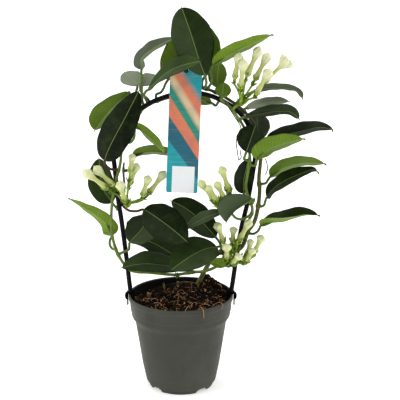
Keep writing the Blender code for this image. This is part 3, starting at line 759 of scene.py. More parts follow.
def leaf_upper_material(s):
    """Waxy deep green with cloudy light and dark patches, a fine pale midrib and faint veins, a painted
    sheen on the half that faces the light, painted shade on the other half, and a painted grey sheen on
    some leaves.
    """
    r = Recipe("waxy_leaf_upper", 0.36, 0.045)
    rib, side, net = veins(r, s.vein_spacing)
    base = r.mix(r.read("tone"), s.upper_dark, s.upper_fresh)
    base = r.clouded(base, s.upper_dark, (28, 2), 0.45, 0.75, 0, 0.45)
    base = r.clouded(base, s.upper_fresh, (90, 4), 0.42, 0.75, 0, 0.16)
    # Painted light: the half that faces the light is lifted towards the sheen colour, and the other half
    # is darkened as painted shade
    half = r.times(r.fade(r.flat_place()[0], -0.03, 0.03, -1, 1), r.read("paler"))
    base = r.tinted(base, s.sheen, r.over_zero(half), 0.22)
    half_shade = r.maths("MINIMUM", r.times(r.over_zero(r.times(half, -1.0)), 0.6), 0.48)
    base = r.mix(half_shade, base, s.upper_dark)
    # Painted sheen: pale grey mixed in, in patches, by each leaf's bloom value
    sheen_patches = r.fade(r.noise(45, 3), 0.2, 0.7, 0.75, 1.0)
    base = r.tinted(base, s.bloom, r.read("bloom"), sheen_patches)
    for mask, strength in ((side, 0.016), (net, 0.006), (rib, 0.6)):
        base = r.tinted(base, s.midrib, mask, strength)
    bump = r.plus(r.times(side, -0.1), r.times(r.noise(260, 3), 0.4))
    return r.finish(base, bump, 0.35, 0.5, r.fade(r.noise(120, 3), 0.3, 0.7, 0.33, 0.46))


def leaf_under_material(s):
    """Matt fresh green with darker side veins and a raised pale midrib."""
    r = Recipe("matt_leaf_underside", 0.5, 0.1)
    rib, side, net = veins(r, s.vein_spacing * 0.6, 0.025)
    base = r.mix(r.read("light"), s.under_dark, s.under_fresh)
    base = r.clouded(base, s.under_dark, (40, 3), 0.35, 0.75, 0, 0.35)
    for mask, strength, tint in ((side, 0.6, s.under_dark), (net, 0.12, s.under_dark),
                                 (rib, 0.6, s.midrib)):
        base = r.tinted(base, tint, mask, strength)
    return r.finish(base, r.plus(r.times(side, 0.5), r.times(r.noise(300, 3), 0.4)), 0.4, 0.5)


def petiole_material(s):
    """Leaf stalk, green or ripened to red brown, with fine mottling."""
    r = Recipe("leaf_stalk", 0.45, 0.2)
    base = r.mix(r.noise(160, 3), s.petiole, s.upper_fresh)
    base = r.tinted(base, s.ripe, r.read("ripe"), r.fade(r.noise(70, 3), 0.2, 0.6, 0.6, 1.0))
    return r.finish(base, r.noise(500, 2), 0.25, 0.3)


def flower_material(s):
    """Cream heads that turn green towards the foot of the tube, greener on young sprays."""
    r = Recipe("waxy_petal", 0.36, 0.3, Subsurface_Weight=0.25, Subsurface_Scale=0.004,
               Subsurface_Radius=(1.0, 0.9, 0.5))
    _, along = r.flat_place()
    base = r.ramp(along, [(0.0, s.foot), (0.16, s.tube), (0.55, s.tube), (0.74, s.head), (1.0, s.head)])
    base = r.tinted(base, s.tube, r.fade(r.noise(150, 3), 0.45, 0.75), 0.35)
    base = r.tinted(base, r.mix(along, s.foot, s.young), r.read("young"), 0.6)
    return r.finish(base, r.noise(420, 3), 0.2, 0.3)


def stalk_material(s):
    """Green of flower stalks, sepals and bracts, with clouds of painted shade and light flecks."""
    r = Recipe("flower_stalk", 0.45, 0.15)
    base = r.clouded(s.shaded, s.stalk, (110, 3), 0.35, 0.65)
    base = r.clouded(base, s.foot, (240, 3), 0.55, 0.75, 0, 0.5)
    return r.finish(base, r.noise(500, 2), 0.25, 0.3)


def shoot_material(name, tint, other, speck, foot=None):
    """Shoot with fine streaks along it and small pale specks, a lighter foot near the soil, and darker
    towards the top.
    """
    r = Recipe(name, 0.6, 0.15)
    lift = r.node("CombineXYZ", {2: r.times(r.read("along"), 10.0)})
    place = r.node("VectorMath", {0: r.read("turned", "Vector"), 1: (2.6, 2.6, 0.0), 2: lift},
                   operation="MULTIPLY_ADD")
    grain = r.noise(1.0, 4, place)
    base = r.clouded(tint, other, grain, 0.35, 0.65)
    base = r.tinted(base, speck, r.fade(r.cells(330.0), 0.1, 0.22, 1, 0), 0.5)
    if foot:
        height = r.node("SeparateXYZ", {0: r.object_place()}, output=2)
        base = r.mix(r.fade(height, 0.105, 0.165, 0.85, 0), base, r.mix(grain, foot, other))
        # Darker towards the top: above 0.30 m the colour falls to half its lightness
        base = r.mix(r.fade(height, 0.30, 0.35, 0, 0.6), base, scaled(tint, 0.5))
    return r.finish(base, r.plus(grain, r.noise(700, 2)), 0.4, 0.4)


def pot_material(s):
    """Matt grey plastic with cloudy smears, fine drips of dust and short scratches."""
    r = Recipe("grey_pot_plastic", 0.55, 0.12)
    pale, dusky = scaled(s.wall, 1.35), scaled(s.wall, 0.72)
    base = r.clouded(s.wall, pale, (16, 4), 0.35, 0.7)
    base = r.clouded(base, dusky, r.stretched((34, 34, 9), 4), 0.5, 0.75, 0, 0.5)
    base = r.clouded(base, s.stain, r.stretched((30, 30, 120), 5, 0.7), 0.58, 0.72, 0, 0.35)
    base = r.clouded(base, pale, r.stretched((60, 60, 900), 2), 0.72, 0.76, 0, 0.5)
    return r.finish(base, r.noise(900, 2), 0.12, 0.2, r.fade(r.noise(60, 4), 0.3, 0.7, 0.48, 0.62))


def plain_plastic(name, tint, roughness, grain, gloss=0.25):
    """Moulded plastic with a faint uneven sheen."""
    r = Recipe(name, roughness, gloss)
    light = tuple(min(1.0, c * 1.6 + 0.004) for c in tint)
    rough = r.fade(r.noise(60, 4), 0.3, 0.7, roughness - 0.05, roughness + 0.07)
    base = r.clouded(tint, light, (14, 3), 0.3, 0.7, 0.0, 0.16)
    return r.finish(base, r.noise(grain, 2), 0.12, 0.2, rough)


def crumb_material(name, tint, other, scale):
    """Rough earthy matter that varies between two tints."""
    r = Recipe(name, 0.9, 0.1)
    return r.finish(r.clouded(tint, other, (scale, 3), 0.35, 0.7), r.noise(scale * 6, 3), 0.6, 0.5)


def tag_material(s):
    """Gloss card with leaning bands, crisp below and soft above, and a blank panel low down."""
    r = Recipe("printed_card", 0.3, 0.2)
    across, along = r.flat_place()
    sway = r.maths("SINE", r.plus(r.times(across, 3.4), r.times(along, 7.0)))
    level = r.plus(r.plus(along, r.times(sway, 0.03)), r.times(across, 0.34))
    top = 1.3                                     # the highest level on the card
    stops, before = [(0.34, s.teal)], s.teal
    # Where each band starts, its colour and how soft its edge is
    for place, after, soft in ((0.42, s.deep, 0.006), (0.57, s.coral, 0.006), (0.72, s.green, 0.01),
                               (0.84, s.sand, 0.03), (0.95, s.coral, 0.03), (1.08, s.teal, 0.04)):
        stops += [(place - soft, before), (place + soft, after)]
        before = after
    stops = [(place / top, tint) for place, tint in stops]
    bands = r.ramp(r.maths("DIVIDE", level, top), stops, False)
    bands = r.clouded(bands, s.deep, (70, 3), 0.4, 0.7, 0, 0.25)
    bands = r.clouded(bands, s.sand, r.stretched((30, 30, 900), 3), 0.55, 0.7, 0, 0.16)
    inside = r.times(r.fade(r.maths("ABSOLUTE", r.minus(across, 0.53)), 0.35, 0.36, 1, 0),
                     r.fade(along, 0.205, 0.212, 1, 0))
    panel = r.clouded(s.panel, shade(206, 210, 212), (40, 2), 0.4, 0.7, 0, 0.3)
    return r.finish(r.mix(inside, bands, panel), r.noise(900, 2), 0.05, 0.2)


# ---------------------------------------------------------------- rods and scattered copies

def rod(name, lines, material, slot, *nodes, sides=14, **sizes):
    """Round rods with an uneven surface along lines of points and radii, as one finished piece."""
    points, edges, girths = [], [], []
    for places, radii in lines:
        first = len(points)
        points += [tuple(p) for p in places]
        edges += [(first + i, first + i + 1) for i in range(len(places) - 1)]
        girths += [float(r) for r in radii]
    mesh = bpy.data.meshes.new("lines")
    mesh.from_pydata(points, edges, [])
    mark(mesh, "girth", girths)
    g = Growth(name)
    spacing = g.size("Spacing", 1.4 * MM)
    uneven = g.size("Unevenness", 0.0)
    grain = g.size("Grain", 300.0)
    curve = g.node("MeshToCurve", {"Mesh": g.source()})
    curve = g.node("ResampleCurve", {"Curve": curve, "Length": spacing}, mode="LENGTH")
    along = g.node("SplineParameter", output=1)
    curve = g.store(curve, "along", g.maths("DIVIDE", along, FLAT))
    ring = g.node("CurvePrimitiveCircle", {"Resolution": sides, "Radius": 1.0})
    ring = g.store(ring, "turned", g.node("InputPosition"), "FLOAT_VECTOR")
    skin = g.node("CurveToMesh", {"Curve": curve, "Profile Curve": ring, "Scale": g.read("girth"),
                                  "Fill Caps": True})
    bumps = g.node("ShaderNodeTexNoise", {"Scale": grain, "Detail": 2.0})
    rise = g.times(g.minus(bumps, 0.5), uneven)
    push = g.node("ShaderNodeVectorMath", {0: g.node("InputNormal"), "Scale": rise}, operation="SCALE")
    tree = g.finish(g.node("SetPosition", {"Geometry": skin, "Offset": push}), material)
    return settle(grown(name, linked("lines", mesh), tree, **sizes), slot, *nodes)


def even_rod(name, node, reach, steps, material, slot, swell=1.0, **sizes):
    """A rod of one thickness in the place of a thin solid tube."""
    points, radii = tube_line(node, reach)
    thick = np.full(steps, radii.max() * swell)
    return rod(name, [(resampled(points, steps), thick)], material, slot, node, **sizes)


def shoot_shape(node, s):
    """Middle line and radii of a shoot with round ends, thicker where leaves and sprays join it."""
    joins = [plan["stalk"][0] for plan in leaf_plans.values()]
    joins += [foot for _, _, foot in spray_plans.values()]
    points, radii = shoot_lines[node]
    places = run(points)
    where = np.linspace(0, places[-1], round(places[-1] / s.spacing))
    line, thick = smooth(places, points, where), smooth(places, radii, where)
    for join in joins:
        away = np.linalg.norm(line - join, axis=1)
        if away.min() < 6 * MM:
            swell_at = where[int(np.argmin(away))]
            thick = thick * (1 + s.swelling * bell(where - swell_at, 2.4 * MM))
    to_end = np.minimum(where, places[-1] - where)
    return line, thick * np.sqrt(np.clip(to_end / (2.5 * MM), 0.03, 1))


def scatter_tree(name, material, templates):
    """Copies of the templates spread over the ground, turned and sized at random."""
    g = Growth(name)
    density = g.size("Density", 1000.0)
    seed = g.size("Seed", 1, "Int")
    small = g.size("Smallest", (0.5, 0.5, 0.5), "Vector")
    large = g.size("Largest", (1.0, 1.0, 1.0), "Vector")
    tilt = g.size("Tilt", math.pi)
    spots = g.node("DistributePointsOnFaces", {"Mesh": g.source(), "Density": density, "Seed": seed})
    turn = g.by_chance({"Min": (-1.0, -1.0, -math.pi), "Max": (1.0, 1.0, math.pi), "Seed": seed},
                       "FLOAT_VECTOR")
    lean = g.node("ShaderNodeCombineXYZ", {0: tilt, 1: tilt, 2: 1.0})
    turn = g.node("ShaderNodeVectorMath", {0: turn, 1: lean}, operation="MULTIPLY")
    grow = g.by_chance({"Min": small, "Max": large, "Seed": 7}, "FLOAT_VECTOR")
    choices = g.tree.nodes.new("GeometryNodeJoinGeometry").inputs[0]
    for template in templates:
        g.tree.links.new(g.model(template), choices)
    copies = g.node("InstanceOnPoints",
                    {"Points": spots, "Instance": choices.node.outputs[0], "Pick Instance": True,
                     "Rotation": g.node("FunctionNodeEulerToRotation", {0: turn}), "Scale": grow})
    return g.finish(copies, material)


# ---------------------------------------------------------------- leaves

STATIONS = np.array([0.06, 0.2, 0.4, 0.6, 0.8, 0.94])      # where the solid blades have their sections
BLADE_POINTS = 17         # points from edge to edge of a blade
UPPER, UNDER, STALK, DRY = range(4)                        # the finishes of a leaf
# Direction towards the light that the painted sheen and shade of the leaf halves follow
UPPER_LEFT = np.array([-0.6, 0, 0.8])


def look(tone=0.2, light=0.5, bloom=0.0, ripe=0.0, paler=0.2, hooked=0.4):
    """How young the upper side of a leaf looks, how light its underside is, how much painted grey sheen it
    has, how brown its stalk is, which half gets painted sheen and which painted shade (above 0 the upper
    left one gets the sheen) and how long its curled point is."""
    return dict(tone=tone, light=light, bloom=bloom, ripe=ripe, paler=paler, hooked=hooked)


LEAF_LOOKS = {
    "arch_left": look(0.5, 0.6, bloom=0.18, paler=-0.9), "behind_tag": look(0.3, 0.6, ripe=0.9),
    "centre_dark": look(0.2, 0.4, paler=-0.7), "centre_grey": look(0.6, 0.5, bloom=0.06, paler=0.4),
    "centre_twisted": look(0.6, 0.7, bloom=0.05, paler=1.4), "crown_front": look(0.25, 0.5, paler=0.6),
    "crown_left_rear": look(0.35, 0.6), "crown_right_rear": look(0.25, 0.3),
    "dark_left": look(0.42, 0.4, ripe=0.3, paler=-0.5), "inner_upright": look(0.0, 0.3, paler=0.4),
    "large_left": look(0.0, 0.4, ripe=1.0, paler=0.25),
    "low_centre_large": look(0.05, 0.5, ripe=1.0, paler=-0.35),
    "low_front_wide": look(0.35, 0.5, paler=-0.45), "low_left_dark": look(0.3, 0.4, paler=0.3),
    "low_left_pale": look(0.6, 1.0, hooked=1.0),
    "low_left_round": look(0.25, 0.5, bloom=0.04, paler=-0.8), "low_right_pale": look(0.5, 0.8),
    "pale_left": look(0.4, 0.7), "right_long_dark": look(0.08, 0.4, paler=-0.4, hooked=1.0),
    "right_low": look(0.3, 0.9, hooked=1.0), "right_mid_dark": look(0.17, 0.5, paler=-0.3, hooked=1.0),
    "right_mid_pale": look(0.4, 0.6, hooked=1.0), "right_pale_front": look(0.5, 0.75, hooked=1.0),
    "right_round": look(0.05, 0.4, paler=-0.4), "right_round_rear": look(0.15, 0.4, bloom=0.15),
    "round_upper_left": look(0.5, 0.5, bloom=0.5), "slim_left": look(0.5, 1.0),
    "small_upper_left": look(0.5, 0.5, bloom=0.6), "tag_top": look(0.55, 0.6, paler=-0.3),
    "top_right_bright": look(0.6, 1.0, hooked=1.0), "top_right_hanging": look(0.3, 0.5),
    "top_right_inner": look(0.3, 0.45), "under_hoop": look(0.3, 0.55),
    "upper_right_edge": look(0.35, 0.5, bloom=0.06, paler=0.4),
    "upper_right_low": look(0.6, 0.9, bloom=0.8),
}


def full_width(share):
    """Half width of a blade along its length, as a share of the widest."""
    return np.sin(np.pi * np.clip(share, 1e-4, 1 - 1e-4)) ** 0.54


def blade(shell, plan, s, dice):
    """Thin blade with a folded, grooved and waved surface; gives its middle line and its ups."""
    share = (1 - np.cos(np.pi * np.linspace(0.03, 0.988, s.rows))) / 2
    centre = smooth([0, *STATIONS, 1], plan["centres"], share * 0.985)
    held = np.clip(share, STATIONS[0], STATIONS[-1])
    ahead = unit(np.gradient(centre, axis=0))
    side = square_to(smooth(STATIONS, plan["sides"], held), ahead)
    up = np.cross(side, ahead)
    if np.sum(up * smooth(STATIONS, plan["ups"], held)) < 0:
        up = -up
    half = smooth(STATIONS, plan["halves"] / full_width(STATIONS), held) * full_width(share)
    half = half * (1 + 0.018 * np.sin(share * 23 + dice.uniform(0, 6)))
    lift = smooth(STATIONS, plan["lifts"] / plan["halves"], held) * half
    edge = np.linspace(-1, 1, BLADE_POINTS)
    v = np.sign(edge) * np.abs(edge) ** 1.3            # from edge to edge, closest at the midrib
    x = v[None] * half[:, None]
    rise = lift[:, None] * (1.3 * np.abs(v) - 0.3 * v**2)[None]
    for turns, height in ((dice.uniform(1.2, 2.2), 1.0), (dice.uniform(3.2, 4.6), 0.45)):
        phases = np.where(v < 0, dice.uniform(0, 6.3), dice.uniform(0, 6.3))
        swing = np.sin(TURN * turns * share[:, None] + phases[None])
        rise = rise + s.wave * height * swing * (v**2)[None] * np.minimum(1, half / (9 * MM))[:, None]
    thick = s.half_thickness * np.sqrt(1 - np.abs(v) ** 9)[None] * np.minimum(1, half / (3 * MM))[:, None]
    fade_out = (1 - 0.75 * share)[:, None]
    over = rise + thick - s.groove * bell(x, 1.1 * MM) * fade_out
    under = rise - thick - s.rib * bell(x, 0.85 * MM) * fade_out
    place = centre[:, None] + side[:, None] * x[..., None]
    top = place + up[:, None] * over[..., None]
    low = place + up[:, None] * under[..., None]
    rings = np.concatenate([top, low[:, -2:0:-1]], axis=1)
    along = run(centre)[:, None] / FLAT * np.ones_like(x)
    flats = np.stack([x / FLAT, along], axis=-1)
    flats = np.concatenate([flats, flats[:, -2:0:-1]], axis=1)
    shell.loft(rings, flats, lambda j: UPPER if j < BLADE_POINTS - 1 else UNDER,
               end_flats=((0, 0), (0, float(along[-1, 0]))))
    return centre, up


def dry_point(shell, plan, centre, up, reach, stoutness):
    """Dry point at the tip of a blade, curled down."""
    tip, on = plan["centres"][-1], unit(plan["centres"][-1] - plan["centres"][-2])
    hook = np.array([centre[-4], centre[-1], tip - up * 0.2 * MM, tip + (on * 0.45 - up * 0.3) * reach,
                     tip + (on * 0.55 - up * 0.85) * reach])
    low, high = (np.array(corner) for corner in SOLID_BOX)
    hook = np.clip(hook, low + EDGE_ROOM, high - EDGE_ROOM)
    radii = np.array([0.35, 0.55, 0.7, 0.85, 0.95, 0.9, 0.75, 0.5, 0.2]) * MM
    shell.tube(resampled(hook, len(radii)), radii * stoutness, 8, DRY)


def petiole(shell, plan, centre, up):
    """Stalk of a leaf, from inside its shoot to under the foot of the blade."""
    foot = plan["stalk"][0]
    thick = plan["stalk_radius"] * 1.2
    ends = run(centre[:12])
    drops = [max(0.6 * MM, thick * min(1, 0.35 + (ends[-1] - end) / (9 * MM))) for end in ends]
    under = [centre[k] - up[k] * drops[k] for k in (4, 8, 11)]
    knots = np.array([inside_shoot(foot, 0.9), *plan["stalk"], *under])
    knots = knots[np.concatenate([[True], np.linalg.norm(np.diff(knots, axis=0), axis=1) > 0.5 * MM])]
    places = run(knots)
    where = np.linspace(0, places[-1], max(8, round(places[-1] / (1.2 * MM))))
    from_end = places[-1] - where
    radii = np.full(len(where), thick)
    radii *= 1 + 0.35 * bell(where, 3.2 * MM)
    radii *= np.clip(0.35 + from_end / (9 * MM), 0, 1) * np.clip(0.3 + where / (2 * MM), 0, 1)
    shell.tube(smooth(places, knots, where), radii, 12, STALK)


def build_leaf(node, materials, s):
    """One leaf: its blade, its dry point and its petiole."""
    plan = leaf_plans[node]
    looks = LEAF_LOOKS.get(node[len("leaf_"):], look())
    shell = Shell()
    centre, up = blade(shell, plan, s, random.Random(node))
    dry_point(shell, plan, centre, up[-1], s.hook * looks["hooked"], 0.35 + 0.65 * looks["hooked"])
    petiole(shell, plan, centre, up)
    leaf = shell.mesh(node.replace("leaf_", "leaf_blade_"), materials)
    # The sign turns each paler value so that above 0 the half towards the upper left gets the painted
    # sheen and the other half the painted shade
    way = np.sign(plan["sides"].mean(0) @ UPPER_LEFT)
    for label in ("tone", "light", "bloom", "ripe", "paler"):
        value = looks[label] * (way if label == "paler" else 1)
        mark(leaf.data, label, [float(value)] * len(leaf.data.vertices))
    settle(leaf, "leaf", node)


# ---------------------------------------------------------------- flowers

# Spray -> how young and green its buds are, 0 to 1, the size of the bracts at its foot against the
# sepals, and where small bracts stand along each stalk
SPRAY_LOOKS = {"flowers_top": (0.1, 1.3, (0.75,)), "flowers_middle": (0.8, 2.1, (0.3, 0.6, 0.85)),
               "flowers_left": (0.3, 1.3, (0.7,)), "flowers_low": (0.35, 1.6, (0.5, 0.8))}

OPEN_RADIUS = 6.5 * MM    # a head wider than this is an open flower
OPEN_SIDES, OPEN_ROWS = 40, 54
BRACT_ROOM = 12 * MM      # bracts stay this far inside the solid model's box


def spokes_about(axis, sides):
    """Angles and directions of evenly spread spokes round an axis."""
    spin = around(sides)
    across = square_to(np.array([0.3, 0.8, 0.5]), axis)
    return spin, across * np.cos(spin)[:, None] + np.cross(axis, across) * np.sin(spin)[:, None]


def bud(shell, line, radii, s):
    """Slim tube with a swollen foot and a pointed head of five twisted lobes."""
    axis = unit(line[-1] - line[0])
    places = (line - line[0]) @ axis
    span = places[-1]
    share = (1 - np.cos(np.pi * np.linspace(0.0, 0.985, s.rows))) / 2
    radius = smooth(places, radii, share * span)
    plump = 0.10 * bell(share - 0.06, 0.05) + 0.10 * bell(share - 0.76, 0.16)
    radius = np.maximum(radius * (1 + plump), 0.2 * MM)
    radius *= np.clip((1.0 - share) / 0.17, 0, 1) ** 0.5
    spin, spokes = spokes_about(axis, s.sides)
    rings, flats = [], []
    for at, r in zip(share, radius):
        head = np.clip((at - 0.58) / 0.2, 0, 1)                              # 0 on the tube, 1 on the head
        seam = (0.5 + 0.5 * np.cos(5 * (spin - 2.4 * (at - 0.6)))) ** 3      # between twisted lobes
        foot = 0.06 * np.cos(5 * spin) * bell(at - 0.07, 0.06)               # five bulges low down
        reach = r * (1.02 - 0.26 * head * seam + foot)
        rings.append(line[0] + axis * at * span + spokes * reach[:, None])
        flats.append(np.stack([spin / TURN, np.full(len(spin), at)], axis=-1))
    shell.loft(rings, flats, 0, (line[0], line[-1]), ((0, 0), (0, 1)))


def open_flower(shell, line, radii):
    """Tube that opens into five spreading lobes round a throat."""
    axis = unit(line[-1] - line[0])
    span = np.dot(line[-1] - line[0], axis)
    wide, tube = radii.max() * 1.14, radii[2]
    # Along the outer side and back down the throat: share of the length, radius, depth of the notches
    profile = [(0.0, tube, 0), (0.06, tube * 1.25, 0), (0.16, tube * 1.05, 0), (0.4, tube * 0.85, 0),
               (0.6, tube * 0.95, 0.02), (0.7, wide * 0.46, 0.05), (0.79, wide * 0.78, 0.2),
               (0.88, wide, 0.42), (0.95, wide * 1.04, 0.55), (0.985, wide * 0.98, 0.6),
               (0.96, wide * 0.9, 0.55), (0.87, wide * 0.68, 0.35), (0.79, wide * 0.42, 0.15),
               (0.72, wide * 0.26, 0.03), (0.64, wide * 0.18, 0)]
    spin, spokes = spokes_about(axis, OPEN_SIDES)
    steps = np.arange(len(profile))
    fine = np.linspace(0, steps[-1], OPEN_ROWS)
    rings, flats = [], []
    for at, r, notch in smooth(steps, np.array(profile), fine):
        petal = np.abs(np.sin(2.5 * spin + 3.0 * max(0, at - 0.7))) ** 0.6
        reach = r * (1 - notch * (1 - petal))
        height = at * span - notch * 1.2 * MM * (1 - petal)
        rings.append(line[0] + axis * height[:, None] + spokes * reach[:, None])
        flats.append(np.stack([spin / TURN, np.full(OPEN_SIDES, min(1.0, at + 0.1 * notch))], axis=-1))
    throat = line[0] + axis * span * 0.6
    shell.loft(rings, flats, 0, (line[0], throat), ((0, 0), (0, 0.8)))


def sepal_ring(s):
    """Five leafy green sepals round the foot of a tube, pointing along +Z."""
    shell = Shell()
    for k in range(5):
        turn = Matrix.Rotation(TURN * k / 5, 3, "Z")
        rows = []
        for at in np.linspace(0, 1, 6):
            half = 2.0 * MM * math.sin(math.pi * min(0.97, 0.22 + 0.78 * at)) ** 0.8
            half *= 1.15 - 0.5 * at
            out = (1.1 + 4.5 * math.sin(1.3 * at)) * MM
            high = (at - 0.12) * s.sepal_length * 0.86
            ring = [(out - 0.2 * MM, -half, high), (out + 0.12 * MM, 0, high - 0.5 * MM * (1 - at)),
                    (out - 0.2 * MM, half, high), (out - 0.2 * MM, 0, high)]
            rows.append([tuple(turn @ Vector(p)) for p in ring])
        shell.loft(rows, np.zeros((6, 4, 2)), 0)
    return shell.mesh("sepals")


def build_calyces(feet, material, s):
    """A ring of sepals at the foot of every bud, and larger ones as the bracts of a spray."""
    star = sepal_ring(s)
    places, aims, larges = zip(*feet)
    mesh = bpy.data.meshes.new("calyx_places")
    mesh.from_pydata([tuple(place) for place in places], [], [])
    mark(mesh, "aim", np.array(aims).ravel(), "FLOAT_VECTOR")
    mark(mesh, "large", larges)
    g = Growth("Calyces")
    smallest = g.size("Smallest", 0.8)
    largest = g.size("Largest", 1.05)
    seed = g.size("Seed", 3, "Int")
    aim = {"Vector": g.read("aim", "FLOAT_VECTOR")}
    aim = g.node("FunctionNodeAlignRotationToVector", aim, axis="Z")
    spin = g.by_chance({2: 0.0, 3: math.pi, "Seed": seed})
    spin = g.node("FunctionNodeAxisAngleToRotation", {"Axis": (0.0, 0.0, 1.0), "Angle": spin})
    turn = g.node("FunctionNodeRotateRotation", {0: aim, 1: spin}, rotation_space="LOCAL")
    grow = g.times(g.by_chance({2: smallest, 3: largest, "Seed": seed}), g.read("large"))
    copies = g.node("InstanceOnPoints", {"Points": g.source(), "Instance": g.model(star),
                                         "Rotation": turn, "Scale": grow})
    calyces = grown("flower_calyces", linked("calyx_places", mesh), g.finish(copies, material))
    drop(star)
    return settle(calyces, "flowers")


def build_spray(node, materials, s):
    """One spray: stalk, pedicels, buds and open flowers; gives the places of its sepals and bracts."""
    buds, origin, foot = spray_plans[node]
    youth, large, bracts = SPRAY_LOOKS[node]
    shell = Shell()
    feet = []
    stalk = np.array([inside_shoot(foot, 0.8), foot, origin])
    shell.tube(resampled(stalk, 14), np.linspace(1.65, 1.5, 14) * MM, 12, 1)
    onward = unit(np.mean([line[0] for line, _, _ in buds], axis=0) - origin)
    low, high = (np.array(corner) for corner in SOLID_BOX)
    if np.all(origin > low + BRACT_ROOM) and np.all(origin < high - BRACT_ROOM):
        feet += [(origin - onward * 2.5 * MM, onward, large), (origin, onward, large * 0.8)]
    for line, radii, stem in buds:
        axis = unit(line[-1] - line[0])
        knots = np.array([origin, *stem[::-1], line[0] + axis * 0.8 * MM])
        places = run(knots)
        where = np.linspace(0, places[-1], 16)
        for share in bracts:
            spot = places[-1] * share
            ahead = smooth(places, knots, np.array([spot, spot + 1 * MM]))
            feet.append((ahead[0], unit(ahead[1] - ahead[0]), large * 0.6))
        thick = s.pedicel * (1 + 0.5 * bell(places[-1] - where, 2.2 * MM))
        shell.tube(smooth(places, knots, where), thick, 10, 1)
        if radii.max() > OPEN_RADIUS:
            open_flower(shell, line, radii)
        else:
            bud(shell, line, radii, s)
        feet.append((line[0], axis, 1.0))
    spray = shell.mesh(node.replace("flowers_", "flower_spray_"), materials)
    mark(spray.data, "young", [youth] * len(spray.data.vertices))
    settle(spray, "flowers", node)
    return feet


def young_side_bud():
    """Places of the small bracts of a bud that breaks from the low shoot, as for the calyces."""
    line = shoot_lines["stem_left"][0]
    low = line[line[:, 2] < 0.15]
    place = low[int(np.argmin(np.abs(low[:, 0] + 6 * MM)))]
    aims = np.array([(-0.5, -0.5, -0.6), (0.5, -0.6, -0.3), (-0.2, -0.6, 0.5), (0.1, -0.7, -0.8)])
    return [(place, unit(aim), size) for aim, size in zip(aims, (0.6, 0.55, 0.5, 0.65))]


# ---------------------------------------------------------------- pot and soil

def pot_profile():
    """The pot's section as (radius, height), from the middle of its floor round to the foot."""
    work = welded("pot")
    inside = {v for v in work.verts if abs(v.co.y) < WELD and v.co.x > -WELD}
    near = {v: [e.other_vert(v) for e in v.link_edges if e.other_vert(v) in inside] for v in inside}
    on_axis = [v for v in inside if v.co.x < WELD]
    line = [max(on_axis, key=lambda v: v.co.z)]
    while True:
        # The line may meet the axis again only once it has left the floor
        ahead = [v for v in near[line[-1]] if v not in line and not (v in on_axis and len(line) < 4)]
        if not ahead:
            break
        line.append(min(ahead, key=lambda v: (v.co - line[-1].co).length))
    section = np.array([(v.co.x, v.co.z) for v in line])
    work.free()
    return section


def eased(section, radius):
    """The section with its corners rounded."""
    out = [section[0]]
    for before, corner, after in zip(section[:-2], section[1:-1], section[2:]):
        a, b = before - corner, after - corner
        cut = min(radius, 0.4 * np.linalg.norm(a), 0.4 * np.linalg.norm(b))
        first, last = corner + unit(a) * cut, corner + unit(b) * cut
        if np.dot(unit(a), unit(b)) < -0.985:
            out.append(corner)
            continue
        for t in (0, 0.25, 0.5, 0.75, 1):
            out.append((1 - t) ** 2 * first + 2 * t * (1 - t) * corner + t**2 * last)
    return np.array(out + [section[-1]])


def lathe(name, section, steps, materials):
    """Closed turned mesh from a section whose two ends lie on the axis."""
    turns = around(steps)
    rings = [[(r * math.cos(a), r * math.sin(a), z) for a in turns] for r, z in section[1:-1]]
    flats = [[(a / TURN, z) for a in turns] for _, z in section[1:-1]]
    shell = Shell()
    shell.loft(rings, flats, 0, [np.array([0, 0, z]) for z in (section[0][1], section[-1][1])])
    return shell.mesh(name, materials)


def pot_openings():
    """Drain holes in the floor and low arches in the foot ring, as one cutter."""
    work = bmesh.new()

    def hole(turn, out, up, radius, depth, shape=Matrix()):
        place = Matrix.Translation(Vector((out * math.cos(turn), out * math.sin(turn), up)) * MM)
        bmesh.ops.create_cone(work, cap_ends=True, segments=24, radius1=radius * MM,
                              radius2=radius * MM, depth=depth * MM, matrix=place @ shape)
    for k in range(6):
        hole(TURN * (k + 0.5) / 6, out=23, up=5, radius=3.6, depth=8)
    for k in range(4):
        turn = math.radians(41 + 90 * k)
        lying = Matrix.Rotation(turn - math.pi / 2, 4, "Z") @ Matrix.Rotation(math.pi / 2, 4, "X")
        hole(turn, out=37, up=-0.4, radius=6, depth=12,
             shape=lying @ Matrix.Diagonal((1.45, 0.78, 1, 1)))
    return built("openings", work)


def carve(obj, cutter):
    """Takes the cutter out of the object and keeps the result as a plain mesh."""
    step = obj.modifiers.new("cut", "BOOLEAN")
    step.operation, step.solver, step.object = "DIFFERENCE", "EXACT", cutter
    obj.data = outcome(obj)
    drop(cutter)


def soil_heap(material, s):
    """The soil with its top raised and sunk in lumps."""
    g = Growth("Soil heap")
    lumps = g.size("Lumps", 4 * MM)
    heaped = g.size("Heaped at", (30 * MM, 34 * MM, 114 * MM), "Vector")
    fine = g.node("SubdivideMesh", {"Mesh": g.source(), "Level": 3})
    ups = g.node("ShaderNodeSeparateXYZ", {0: g.node("InputNormal")}, output=2)
    noise = g.node("ShaderNodeTexNoise", {"Scale": 105.0, "Detail": 6.0, "Roughness": 0.65})
    away = g.node("ShaderNodeVectorMath", {0: g.node("InputPosition"), 1: heaped}, output=1,
                  operation="DISTANCE")
    rise = g.plus(g.minus(noise, 0.48), g.fade(away, 0.0, 26 * MM, 0.55, 0.0))
    rise = g.times(g.times(rise, g.over_zero(ups)), lumps)
    rise = g.node("ShaderNodeCombineXYZ", {2: rise})
    tree = g.finish(g.node("SetPosition", {"Geometry": fine, "Offset": rise}), material)
    source = built("soil", welded("potting_soil"))
    return settle(grown("soil_heap", source, tree, lumps=s.lumps), "soil", "potting_soil")


